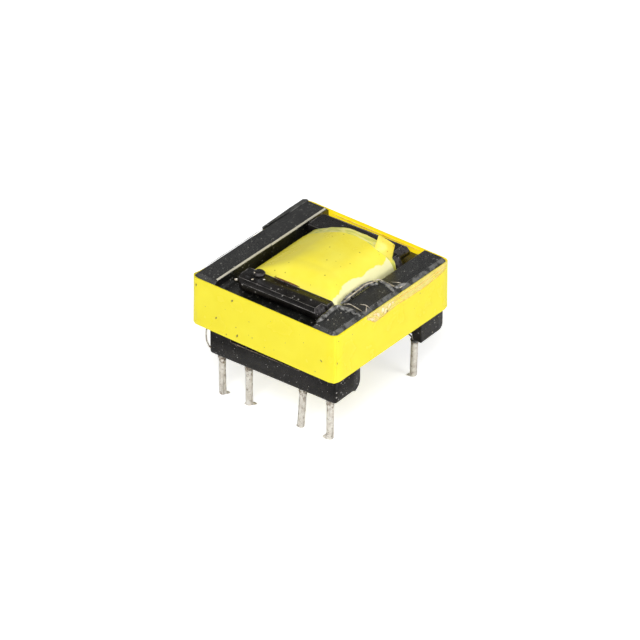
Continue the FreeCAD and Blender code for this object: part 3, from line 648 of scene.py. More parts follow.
# Painted highlight: the pale patches on the dark varnish beads.
DARK_VARNISH = VarnishFinish("dark_varnish", (0.008, 0.008, 0.008), (0.30, 0.295, 0.28), 0.07)
CLEAR_VARNISH = VarnishFinish("clear_varnish", (0.40, 0.33, 0.22), (0.80, 0.72, 0.58), 0.15)
AMBER = VarnishFinish("amber_varnish", (0.95, 0.78, 0.20), (0.97, 0.86, 0.40), 0.06, cover=0.42, waves=0.35,
                      dimples=0.1)
AMBER_LINE = VarnishFinish("amber_line", (0.80, 0.45, 0.06), (0.92, 0.72, 0.20), 0.1)
GLOB = VarnishFinish("varnish_glob", (0.86, 0.55, 0.16), (0.98, 0.88, 0.62), 0.05, waves=1.3)
BURNT = VarnishFinish("burnt_varnish", (0.05, 0.018, 0.005), (0.22, 0.08, 0.012), 0.3)
# Pale flakes: painted glints on the knob and the right bar, and one real resin drop.
GLINT_AND_RESIN = VarnishFinish("resin", (0.75, 0.62, 0.42), (0.95, 0.92, 0.85), 0.06)
# Painted highlight: pale strands along the ledges' sharp edges.
EDGE_HIGHLIGHT = VarnishFinish("edge_highlight", (0.05, 0.047, 0.045), (0.36, 0.34, 0.33), 0.3, waves=1.6)
CHIPPED = VarnishFinish("chipped_edge", (0.015, 0.013, 0.012), (0.36, 0.27, 0.19), 0.5, waves=3.0)
DUST = VarnishFinish("pale_dust", (0.16, 0.155, 0.145), (0.55, 0.53, 0.50), 0.6)
DIRT = VarnishFinish("belt_dirt", (0.20, 0.16, 0.012), (0.40, 0.34, 0.03), 0.6)


BODY = "root"
CORE_FRAME = Matrix.Translation((-0.2, 0.55, 0.0)) @ Matrix.Rotation(math.radians(-1.5), 4, "Z")
UP = Vector((0.0, 0.0, 1.0))
Points = list[Vector]
Pair = tuple[float, float]
Knots = tuple[Pair, ...]
Mark = tuple[Vector, Vector, float]


def on_core(x: float, y: float, z: float) -> Vector:
    """A place given in the core's own frame, as a place in the row's frame, both in millimetres."""
    return CORE_FRAME @ Vector((x, y, z))


def follow(knots: Knots, where: float) -> float:
    """Read a bent line.

    Args:
        knots: Pairs of place and value, in rising order of place.
        where: The place to read it at.

    Returns:
        The value there.
    """
    if where <= knots[0][0]:
        return knots[0][1]
    for (low, first), (high, second) in zip(knots, knots[1:]):
        if where <= high:
            return first + (second - first) * (where - low) / (high - low)
    return knots[-1][1]


def smooth_line(points: Points, steps: int, closed: bool = False) -> Points:
    """Run a smooth line through points.

    Args:
        points: The points.
        steps: Points made for each span.
        closed: Whether the line comes back to its start.

    Returns:
        The line's points.
    """
    count = len(points)
    line = []
    for span in range(count if closed else count - 1):
        near = [span + offset for offset in (-1, 0, 1, 2)]
        if not closed:
            near = [min(max(index, 0), count - 1) for index in near]
        a, b, c, d = (points[index % count] for index in near)
        for step in range(steps):
            t = step / steps
            line.append(0.5 * (2 * b + (c - a) * t + (2 * a - 5 * b + 4 * c - d) * t ** 2
                               + (3 * b - a - 3 * c + d) * t ** 3))
    return line if closed else line + [points[-1]]


def round_over(mesh: bpy.types.Mesh, crease: float = 40.0) -> bpy.types.Mesh:
    """Turn a closed mesh's faces outwards and shade it smooth but for its creases.

    Args:
        mesh: The mesh.
        crease: The angle from which an edge stays sharp, in degrees.

    Returns:
        The same mesh.
    """
    shape = bmesh.new()
    shape.from_mesh(mesh)
    bmesh.ops.remove_doubles(shape, verts=shape.verts, dist=1e-4 * MM)
    bmesh.ops.recalc_face_normals(shape, faces=shape.faces)
    shape.to_mesh(mesh)
    shape.free()
    mesh.shade_smooth()
    mesh.set_sharp_from_angle(angle=math.radians(crease))
    return mesh


def skin(name: str, rows: list[Points], ring: bool = False) -> bpy.types.Mesh:
    """Skin closed rows of points, each as long as the next.

    Args:
        name: The mesh's name.
        rows: The rows, in millimetres.
        ring: Whether the last row joins the first. If not, both end rows get a cap.

    Returns:
        The closed mesh.
    """
    wide, high = len(rows[0]), len(rows)
    faces = []
    for row in range(high if ring else high - 1):
        below, above = row * wide, (row + 1) % high * wide
        for point in range(wide):
            beside = (point + 1) % wide
            faces.append((below + point, below + beside, above + beside, above + point))
    if not ring:
        faces.append(tuple(range(wide)))
        faces.append(tuple(range((high - 1) * wide, high * wide)))
    mesh = bpy.data.meshes.new(name)
    mesh.from_pydata([place * MM for row in rows for place in row], [], faces)
    return round_over(mesh)


def piece(name: str, mesh: bpy.types.Mesh, finish: Finish, slot: str, *nodes: str) -> bpy.types.Object:
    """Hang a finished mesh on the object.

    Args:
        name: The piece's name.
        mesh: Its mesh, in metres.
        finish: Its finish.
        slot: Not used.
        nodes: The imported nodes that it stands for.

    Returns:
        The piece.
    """
    mesh.materials.clear()
    mesh.materials.append(finish.material())
    made = bpy.data.objects.new(name, mesh)
    bpy.context.scene.collection.objects.link(made)
    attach(made, BODY)
    if nodes:
        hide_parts(*nodes)
    LOG.info("built %s with %d faces", name, len(mesh.polygons))
    return made


class Socket(Enum):
    """Kinds of input that a geometry tree has."""

    LENGTH = "NodeSocketFloat"
    COUNT = "NodeSocketInt"
    MATERIAL = "NodeSocketMaterial"


class Tree:
    """A geometry tree with named inputs, which ends in real geometry with a material."""

    def __init__(self, name: str, inputs: dict[str, Socket]) -> None:
        """Start a tree.

        Args:
            name: The tree's name.
            inputs: Its inputs' names and kinds, besides the geometry and the material.
        """
        self.group = bpy.data.node_groups.new(name, "GeometryNodeTree")
        face = self.group.interface
        face.new_socket(name="Geometry", in_out="INPUT", socket_type="NodeSocketGeometry")
        for label, kind in {**inputs, "Material": Socket.MATERIAL}.items():
            face.new_socket(name=label, in_out="INPUT", socket_type=kind.value)
        face.new_socket(name="Geometry", in_out="OUTPUT", socket_type="NodeSocketGeometry")
        self.wires = Wiring(self.group)
        self.given = self.wires.add("NodeGroupInput").outputs
        self.result = self.wires.add("NodeGroupOutput")

    def end(self, made: bpy.types.NodeSocket) -> "Tree":
        """Close the tree.

        Args:
            made: The socket of what it has made.

        Returns:
            The tree.
        """
        real = self.wires.add("GeometryNodeRealizeInstances", {"Geometry": made})
        given = {"Geometry": real.outputs[0], "Material": self.given["Material"]}
        self.wires.give(self.result.inputs[0], self.wires.add("GeometryNodeSetMaterial", given).outputs[0])
        return self

    def grow(self, name: str, seed: bpy.types.Mesh, finish: Finish, **values: float) -> bpy.types.Mesh:
        """Run the tree over a mesh.

        Args:
            name: The new mesh's name.
            seed: The mesh that it starts from.
            finish: The finish of what it makes.
            values: Its inputs' values, by name.

        Returns:
            A plain mesh.
        """
        host = bpy.data.objects.new(name + "_seed", seed)
        bpy.context.scene.collection.objects.link(host)
        modifier = host.modifiers.new("tree", "NODES")
        modifier.node_group = self.group
        given = {**values, "Material": finish.material()}
        for item in self.group.interface.items_tree:
            if item.in_out == "INPUT" and item.name in given:
                modifier[item.identifier] = given[item.name]
        bpy.context.view_layer.update()
        evaluated = host.evaluated_get(bpy.context.evaluated_depsgraph_get())
        mesh = bpy.data.meshes.new_from_object(evaluated)
        mesh.name = name
        bpy.data.objects.remove(host)
        return mesh


def strand_tree() -> Tree:
    """A tree that makes a lumpy round strand along each line of edges.

    Returns:
        The tree.
    """
    tree = Tree("strands", {"Step": Socket.LENGTH, "Lumps": Socket.LENGTH, "Waves": Socket.LENGTH,
                            "Sides": Socket.COUNT})
    wires, given = tree.wires, tree.given
    line = wires.add("GeometryNodeMeshToCurve", {0: given["Geometry"]})
    bent = wires.add("GeometryNodeCurveSplineType", {"Curve": line.outputs[0]}, spline_type="CATMULL_ROM")
    even = wires.add("GeometryNodeResampleCurve", {"Curve": bent.outputs[0], "Length": given["Step"]},
                     mode="LENGTH")
    girth = wires.add("GeometryNodeInputNamedAttribute", {"Name": "girth"}, data_type="FLOAT")
    lump = wires.noise(wires.add("GeometryNodeInputPosition").outputs[0], given["Waves"], 2.0)
    swing = wires.times(wires.math("SUBTRACT", lump, 0.5), given["Lumps"])
    thick = wires.times(girth.outputs["Attribute"], wires.math("ADD", swing, 1.0))
    section = wires.add("GeometryNodeCurvePrimitiveCircle", {"Resolution": given["Sides"], "Radius": 1.0})
    swept = {"Curve": even.outputs[0], "Profile Curve": section.outputs[0], "Scale": thick,
             "Fill Caps": True}
    tube = wires.add("GeometryNodeCurveToMesh", swept)
    return tree.end(wires.add("GeometryNodeSetShadeSmooth", {"Geometry": tube.outputs[0]}).outputs[0])


def ribbon_tree() -> Tree:
    """A tree that stands a flat ribbon on edge along a line.

    Returns:
        The tree.
    """
    tree = Tree("ribbon", {"Thickness": Socket.LENGTH, "Height": Socket.LENGTH, "Ripple": Socket.LENGTH,
                           "Waves": Socket.LENGTH})
    wires, given = tree.wires, tree.given
    line = wires.add("GeometryNodeMeshToCurve", {0: given["Geometry"]})
    upright = wires.add("GeometryNodeSetCurveNormal", {"Curve": line.outputs[0]}, mode="Z_UP")
    section = wires.add("GeometryNodeCurvePrimitiveQuadrilateral",
                        {"Width": given["Thickness"], "Height": given["Height"]})
    fine = wires.add("GeometryNodeSubdivideCurve", {"Curve": section.outputs[0], "Cuts": 3})
    swept = {"Curve": upright.outputs[0], "Profile Curve": fine.outputs[0], "Fill Caps": True}
    band = wires.add("GeometryNodeCurveToMesh", swept)
    wave = wires.noise(wires.add("GeometryNodeInputPosition").outputs[0], given["Waves"], 3.0)
    lift = wires.times(wires.math("SUBTRACT", wave, 0.5), given["Ripple"])
    shift = wires.add("ShaderNodeCombineXYZ", {"Z": lift})
    moved = wires.add("GeometryNodeSetPosition", {"Geometry": band.outputs[0], "Offset": shift.outputs[0]})
    return tree.end(moved.outputs[0])


def flake_tree() -> Tree:
    """A tree that lays a flat flake on each point, facing the way the point says.

    Returns:
        The tree.
    """
    tree = Tree("flakes", {"Flatness": Socket.LENGTH, "Width": Socket.LENGTH, "Seed": Socket.COUNT})
    wires, given = tree.wires, tree.given
    facing = wires.add("GeometryNodeInputNamedAttribute", {"Name": "facing"}, data_type="FLOAT_VECTOR")
    size = wires.add("GeometryNodeInputNamedAttribute", {"Name": "size"}, data_type="FLOAT")
    flake = wires.add("GeometryNodeMeshIcoSphere", {"Radius": 1.0, "Subdivisions": 2})
    where = wires.add("GeometryNodeInputPosition")
    rough = wires.add("ShaderNodeTexNoise", {"Vector": where.outputs[0], "Scale": 1.4, "Detail": 2.0})
    uneven = wires.add("ShaderNodeVectorMath", {0: rough.outputs["Color"], 1: (0.5, 0.5, 0.5)},
                       operation="SUBTRACT")
    dented = wires.add("GeometryNodeSetPosition",
                       {"Geometry": flake.outputs["Mesh"], "Offset": uneven.outputs[0]})
    turn = wires.add("FunctionNodeAlignRotationToVector", {"Vector": facing.outputs["Attribute"]}, axis="Z")
    any_way = wires.add("FunctionNodeRandomValue", {"Max": (0.0, 0.0, math.tau), "Seed": given["Seed"]},
                        data_type="FLOAT_VECTOR")
    spun = wires.add("FunctionNodeRotateRotation",
                     {"Rotation": turn.outputs[0], "Rotate By": any_way.outputs[0]}, rotation_space="LOCAL")
    flat = wires.add("ShaderNodeCombineXYZ", {"X": 1.0, "Y": given["Width"], "Z": given["Flatness"]})
    scale = wires.add("ShaderNodeVectorMath", {0: flat.outputs[0], "Scale": size.outputs["Attribute"]},
                      operation="SCALE")
    laid = {"Points": given["Geometry"], "Instance": dented.outputs[0], "Rotation": spun.outputs[0],
            "Scale": scale.outputs[0]}
    return tree.end(wires.add("GeometryNodeInstanceOnPoints", laid).outputs[0])


@dataclass
class Strand:
    """A line that a bead, wire or thread follows."""

    points: Points
    girth: float
    taper: float = 0.35

    def girths(self) -> list[float]:
        """Its radius at each point, thinner at both ends."""
        last = len(self.points) - 1
        return [self.girth * (self.taper if index in (0, last) else 1.0) for index in range(last + 1)]


@dataclass
class Trees:
    """The geometry trees, built once."""

    strands: Tree
    ribbon: Tree
    flakes: Tree
    step: float = 0.14
    waves: float = 700.0
    flake_width: float = 0.55
    seed: int = 4

    def lines(self, name: str, strands: list[Strand], finish: Finish, slot: str, lumps: float = 0.5,
              sides: int = 10) -> None:
        """Make a piece of strands.

        Args:
            name: The piece's name.
            strands: Their lines.
            finish: Their finish.
            slot: The material slot.
            lumps: How much their girth swings.
            sides: Sides of their section.
        """
        seed = bpy.data.meshes.new(name + "_lines")
        places, edges, girths = [], [], []
        for strand in strands:
            first = len(places)
            places += [place * MM for place in strand.points]
            girths += [girth * MM for girth in strand.girths()]
            edges += [(first + index, first + index + 1) for index in range(len(strand.points) - 1)]
        seed.from_pydata(places, edges, [])
        seed.attributes.new("girth", "FLOAT", "POINT").data.foreach_set("value", girths)
        mesh = self.strands.grow(name, seed, finish, Step=self.step * MM, Lumps=lumps, Waves=self.waves,
                                 Sides=sides)
        piece(name, mesh, finish, slot)

    def specks(self, name: str, marks: list[Mark], finish: Finish, slot: str, flatness: float) -> None:
        """Make a piece of flakes.

        Args:
            name: The piece's name.
            marks: Each flake's place, the way it faces and its half width in millimetres.
            finish: Their finish.
            slot: The material slot.
            flatness: Their thickness over their width.
        """
        places, ways, sizes = zip(*marks)
        seed = bpy.data.meshes.new(name + "_points")
        seed.from_pydata([place * MM for place in places], [], [])
        facing = seed.attributes.new("facing", "FLOAT_VECTOR", "POINT").data
        facing.foreach_set("vector", [part for way in ways for part in way])
        widths = seed.attributes.new("size", "FLOAT", "POINT").data
        widths.foreach_set("value", [size * MM for size in sizes])
        mesh = self.flakes.grow(name, seed, finish, Flatness=flatness, Width=self.flake_width,
                                Seed=self.seed)
        piece(name, mesh, finish, slot)


TREES = Trees(strand_tree(), ribbon_tree(), flake_tree())


def dress(finish: Finish, *nodes: str) -> None:
    """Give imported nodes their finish.

    Args:
        finish: The finish.
        nodes: The nodes' names.
    """
    for node in nodes:
        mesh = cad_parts[node].data
        mesh.materials.clear()
        mesh.materials.append(finish.material())
        LOG.info("dressed %s in %s", node, finish.name)


def spread(low: float, high: float, count: int) -> list[float]:
    """Values spread evenly.

    Args:
        low: The first.
        high: The last.
        count: How many.

    Returns:
        The values.
    """
    return [low + (high - low) * index / (count - 1) for index in range(count)]


def core_mark(x: float, y: float, z: float, size: float, way: Point = (0.0, 0.0, 1.0)) -> Mark:
    """A flake's mark, given in the core's own frame.

    Args:
        x: Its place across.
        y: Its place along.
        z: Its height.
        size: Its half width.
        way: The way it faces.

    Returns:
        The mark.
    """
    return on_core(x, y, z), CORE_FRAME.to_3x3() @ Vector(way), size


def hard_edges(node: str, box: Box, girth: float, least: float = 0.2) -> list[Strand]:
    """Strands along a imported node's sharp edges in a box.

    Args:
        node: The node's name.
        box: The box's low and high corner, in millimetres.
        girth: The strands' radius.
        least: The shortest edge that gets one.

    Returns:
        A strand for each edge.
    """
    low, high = box
    shape = bmesh.new()
    shape.from_mesh(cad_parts[node].data)
    bmesh.ops.remove_doubles(shape, verts=shape.verts, dist=1e-4 * MM)
    strands = []
    for edge in shape.edges:
        ends = [vertex.co / MM for vertex in edge.verts]
        inside = all(low[axis] <= end[axis] <= high[axis] for end in ends for axis in range(3))
        sharp = len(edge.link_faces) == 2 and edge.calc_face_angle(0.0) > math.radians(25)
        if inside and sharp and edge.calc_length() > least * MM:
            strands.append(Strand(ends, girth, 0.5))
    shape.free()
    return strands


@dataclass
class Core:
    """The two ferrite halves, with the chips and scratches on their bars and painted highlight lines along
    some of their edges.
    """

    halves: tuple[str, ...] = ("core_half_front", "core_half_rear")
    top: float = 11.0
    ridge_inner: float = -9.68
    ridge_outer: float = -10.3
    ridge_ends: Pair = (2.2, 9.96)
    ridge_height: float = 0.22
    ridge_grows: float = 5.0
    ridge_stops: float = 0.6
    # Boxes in which pale lines along sharp edges are painted highlights.
    edge_highlight_zone: tuple[Box, ...] = (((-10.6, -10.0, 10.5), (-8.0, -8.0, 11.1)),
                               ((8.8, -10.0, 10.5), (10.6, 10.6, 11.1)))
    chips: tuple[Point, ...] = (
        (-10.05, 2.2, 0.16), (-10.0, 2.9, 0.2), (-10.05, 3.7, 0.15), (-10.0, 4.5, 0.16), (-9.95, 5.2, 0.1),
        (-8.9, -8.7, 0.1), (-8.1, -7.4, 0.12), (-7.9, -2.2, 0.09), (9.1, 8.95, 0.2), (9.6, 9.0, 0.16),
        (10.0, 8.3, 0.22), (9.55, 8.0, 0.14))

    def dress(self) -> None:
        """Give the halves their finish."""
        dress(FERRITE, *self.halves)

    def build(self) -> None:
        """Make the pale ridge beside the left bar's outer edge, the scratches, the painted highlight lines
        along edges and the chips.
        """
        piece("edge_ridge", skin("edge_ridge", self._ridge()), FERRITE_EDGE, "ferrite")
        low, high = self.ridge_ends
        ridge = [on_core(self.ridge_inner + 0.03 * math.sin(2.1 * y), y, self.top)
                 for y in spread(6.4, high - 0.3, 7)]
        # Painted highlight: a pale line near the left bar's outer edge at the front.
        edge = [on_core(self.ridge_outer + 0.42, y, self.top - 0.01) for y in spread(-8.7, low, 7)]
        scratch = [on_core(x, y, self.top) for x, y in ((6.9, 8.76), (7.3, 8.55), (7.68, 8.3))]
        lines = [Strand(ridge, 0.045), Strand(edge, 0.03), Strand(scratch, 0.035)]
        # Painted highlights: pale lines along the sharp edges inside the boxes.
        for half in self.halves:
            for box in self.edge_highlight_zone:
                lines += hard_edges(half, box, 0.028, 0.6)
        TREES.lines("core_scratches_and_highlights", lines, FERRITE_CHIP_AND_HIGHLIGHT, "ferrite", 1.2, 6)
        marks = [core_mark(x, y, self.top, size) for x, y, size in self.chips]
        TREES.specks("core_chips", marks, FERRITE_CHIP_AND_HIGHLIGHT, "ferrite", 0.22)

    def _ridge(self) -> list[Points]:
        """The ridge's sections, from front to rear.

        Returns:
            The sections' points.
        """
        low, high = self.ridge_ends
        rows = []
        for y in spread(low, high, 60):
            grown = min((y - low) / self.ridge_grows, 1.0)
            ending = min((high - y) / self.ridge_stops, 1.0) ** 0.5
            rise = self.ridge_height * grown * ending + 0.05 * noise.noise(Vector((y * 2.3, 0.0, 0.0)))
            rise = max(rise, 0.02)
            outer = self.ridge_outer + 0.14 * (1 - grown) + 0.45 * (1 - ending)
            inner = self.ridge_outer + (self.ridge_inner - self.ridge_outer) * (0.3 + 0.7 * grown)
            inner = max(inner, outer + 0.08) + 0.04 * noise.noise(Vector((y * 1.1, 5.0, 0.0)))
            section = ((0.0, -0.15), (0.0, 0.0), (0.11, 0.55 * rise), (0.36, rise), (0.64, 0.95 * rise),
                       (0.9, 0.3 * rise), (1.0, -0.3), (0.55, -0.45))
            rows.append([on_core(inner + (outer - inner) * share, y, self.top + z) for share, z in section])
        return rows


@dataclass
class Former:
    """The moulded coil former."""

    node: str = "bobbin"
    slot: str = "bobbin_plastic"
    rail_corner: Point = (8.92, -8.73, 0.6)
    rail_round: float = 0.4
    near: float = 0.02
    ledge: Box = ((-9.0, -8.4, 10.9), (6.5, -4.9, 11.3))
    rear_ledge: Box = ((-9.0, 4.9, 10.9), (9.0, 10.3, 11.3))
    rail_edge: Box = ((-6.0, -9.0, 3.1), (4.0, -8.6, 4.4))
    knob_glints: tuple[tuple[Point, float], ...] = (
        ((-3.95, -6.65, 12.2), 0.13), ((-3.41, -6.16, 12.2), 0.12), ((-3.98, -7.06, 11.5), 0.15),
        ((-2.92, -6.31, 11.5), 0.14))

    def _rounded(self) -> bpy.types.Mesh:
        """The former with its front rail's outer edges rounded.

        Returns:
            The mesh.
        """
        shape = bmesh.new()
        shape.from_mesh(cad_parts[self.node].data)
        bmesh.ops.remove_doubles(shape, verts=shape.verts, dist=1e-4 * MM)
        bmesh.ops.dissolve_limit(shape, angle_limit=math.radians(0.5), verts=shape.verts, edges=shape.edges)
        side, front, bottom = self.rail_corner
        rim = []
        for edge in shape.edges:
            ends = [vertex.co / MM for vertex in edge.verts]
            at_side = all(abs(abs(end.x) - side) < self.near for end in ends)
            at_front = all(abs(end.y - front) < self.near for end in ends)
            at_bottom = all(abs(end.z - bottom) < self.near for end in ends)
            at_rail = all(end.y < 0.0 for end in ends)
            if at_rail and (at_side, at_front, at_bottom).count(True) > 1:
                rim.append(edge)
        bmesh.ops.bevel(shape, geom=rim, offset=self.rail_round * MM, segments=5, profile=0.5,
                        affect="EDGES")
        bmesh.ops.triangulate(shape, faces=shape.faces)
        mesh = bpy.data.meshes.new("rounded_former")
        shape.to_mesh(mesh)
        shape.free()
        return round_over(mesh, 28.0)

    def build(self) -> None:
        """Make the rounded former, painted highlight lines along its ledges' edges, its chipped rail edge
        and the painted glints on its knob.
        """
        piece("rounded_former", self._rounded(), BLACK, self.slot, self.node)
        # Painted highlight: pale strands along the ledges' sharp edges.
        lines = hard_edges(self.node, self.ledge, 0.045) + hard_edges(self.node, self.rear_ledge, 0.035)
        TREES.lines("edge_highlights", lines, EDGE_HIGHLIGHT, self.slot, 1.6, 6)
        TREES.lines("chipped_edges", hard_edges(self.node, self.rail_edge, 0.1), CHIPPED, self.slot, 1.9, 6)
        # Painted highlight: pale flakes on the knob stand in for its glints.
        glints = [(Vector(place), UP, size) for place, size in self.knob_glints]
        TREES.specks("knob_glints", glints, GLINT_AND_RESIN, self.slot, 0.3)


End = Callable[[Vector], float]


@dataclass
class Coil:
    """Windings and tapes round the former's tube."""

    windings: tuple[str, ...] = ("primary_winding_inner", "secondary_winding")
    insulation: tuple[str, ...] = ("insulation_tape_inner", "insulation_tape_outer")
    outline: Knots = (
        (-6.42, 8.2), (-6.35, 9.6), (-5.95, 10.55), (-5.2, 11.12), (-4.1, 11.68), (-2.9, 12.22),
        (-1.6, 12.72), (-0.3, 12.98), (1.0, 13.04), (2.3, 13.0), (3.5, 12.88), (4.5, 12.5), (5.3, 11.85),
        (5.95, 10.95), (6.3, 9.8), (6.38, 8.0), (6.35, 5.2), (6.0, 3.9), (5.2, 3.15), (3.2, 2.85),
        (0.0, 2.72), (-3.2, 2.85), (-5.2, 3.15), (-6.0, 3.9), (-6.38, 5.2))
    middle_z: float = 7.9
    front: float = -4.95
    front_top: float = 11.25
    slope_run: float = 3.0
    slope_drop: float = 1.8
    slope_blend: float = 0.3
    lean_in: float = 0.2
    rear_edge: Knots = ((-6.4, 4.6), (-2.1, 4.78), (-0.2, 5.08), (1.2, 5.18), (2.6, 5.11), (3.7, 4.95),
                        (4.6, 4.88), (5.4, 5.37), (6.4, 5.8))
    rear_below: float = 5.3
    layer_ends: Point = (-4.83, -2.35, 3.64)
    layer_inset: float = 0.12
    layer: float = 0.3
    film_front: float = 3.65
    film_rear: float = 6.2
    tape_thickness: float = 0.1
    film_inset: float = 0.06
    rows: int = 34
    steps: int = 5
    flap: tuple[tuple[Point, ...], ...] = (
        ((4.0, 5.05, 12.62), (4.7, 5.2, 12.25), (5.35, 5.55, 11.7), (5.8, 5.95, 10.98)),
        ((3.85, 5.65, 13.1), (4.75, 5.75, 12.75), (5.45, 5.95, 12.35), (5.72, 6.08, 11.75)),
        ((3.72, 6.2, 13.62), (4.55, 6.24, 13.5), (5.4, 6.25, 13.32), (5.98, 6.22, 13.15)))
    flap_wall: Point = (0.03, -0.06, 0.03)

    def place(self, x: float, z: float, y: float, inset: float) -> Vector:
        """A place on the coil's surface.

        Args:
            x: Across, on the outline.
            z: Up, on the outline.
            y: Along the coil.
            inset: How far below the surface.

        Returns:
            The place, in millimetres.
        """
        run = (y - self.front) / self.slope_run
        crest = self.front_top + self.slope_drop
        limit = crest - self.slope_drop * (1 - run) ** 2 if run < 1 else crest + 2.4 * (run - 1)
        k = self.slope_blend
        z = -k * math.log(math.exp(-z / k) + math.exp(-limit / k))
        share = min(max((y - self.front) / (self.film_rear - self.front), 0.0), 1.0)
        if x < 0 and z > self.middle_z:
            x += self.lean_in * share * min(-x / 6.4, 1.0)
        away = Vector((x, 0.0, z - self.middle_z))
        out = away.length
        shrunk = away * ((out - inset) / out)
        return Vector((shrunk.x, y, self.middle_z + shrunk.z))

    def shell(self, name: str, ends: tuple[End, End], inset: float, thickness: float,
              ripple: float) -> bpy.types.Mesh:
        """A closed shell of tape round the coil.

        Args:
            name: The mesh's name.
            ends: Two functions of a place on the outline that give its front and rear end.
            inset: How far its outside lies below the coil's surface.
            thickness: Its wall.
            ripple: How far its surface swings.

        Returns:
            The mesh.
        """
        around = smooth_line([Vector((x, 0.0, z)) for x, z in self.outline], self.steps, closed=True)
        rows = []
        for depth, order in ((0.0, 1), (thickness, -1)):
            for share in spread(0.0, 1.0, self.rows)[::order]:
                row = []
                for spot in around:
                    low, high = (end(spot) for end in ends)
                    y = low + (high - low) * share
                    swing = ripple * noise.noise(Vector((spot.x * 0.7, y * 0.8, spot.z * 0.7)))
                    row.append(self.place(spot.x, spot.z, y, inset + depth - swing))
                rows.append(row)
        return skin(name, rows, ring=True)

    def build(self) -> None:
        """Make the outer tape and the film at its rear, with the film's loose end."""
        def level(y: float) -> End:
            """An end at one place all round."""
            return lambda spot: y

        def tape_rear(spot: Vector) -> float:
            """Where the outer tape ends."""
            return follow(self.rear_edge, spot.x) if spot.z > self.middle_z else self.rear_below

        def film_rear(spot: Vector) -> float:
            """Where the film ends, unevenly."""
            return self.film_rear + 0.06 * noise.noise(spot * 1.7)

        tape = self.shell("coil_tape", (level(self.front), tape_rear), 0.0, self.tape_thickness, 0.02)
        piece("coil_tape", tape, COIL_TAPE, "coil_tape", "outer_tape")
        film = self.shell("margin_film", (level(self.film_front), film_rear), self.film_inset, 0.08, 0.07)
        piece("margin_film", film, FILM, "margin_tape", "margin_tape_rear")
        low, middle, high = self.layer_ends
        front = self.shell("front_film", (level(low), level(middle)), self.layer_inset, self.layer, 0.0)
        piece("front_film", front, FILM, "margin_tape", "margin_tape_front")
        ends = (level(middle + 0.01), level(high))
        wires = self.shell("outer_winding", ends, self.layer_inset, self.layer, 0.0)
        piece("outer_winding", wires, COPPER, "copper_wire", "primary_winding_outer")
        piece("film_flap", self._flap(), FLAP, "margin_tape")
        lip = [Vector((x, self.front + 0.05, self.front_top + 0.04)) for x in (-2.6, -1.6, -0.6, 0.3, 1.0)]
        TREES.lines("burnt_varnish", [Strand(lip, 0.09)], BURNT, "coil_tape", 1.2)

    def _flap(self) -> bpy.types.Mesh:
        """The film's loose end, standing up at the rear right.

        Returns:
            The mesh.
        """
        lines = [smooth_line([Vector(place) for place in line], 5) for line in self.flap]
        rows = [smooth_line(list(column), 6) for column in zip(*lines)]
        rings = [row + [place + Vector(self.flap_wall) for place in reversed(row)] for row in rows]
        return skin("film_flap", rings)

    def dress(self) -> None:
        """Give each packed layer its finish."""
        dress(COPPER, *self.windings)
        dress(INNER_TAPE, *self.insulation)


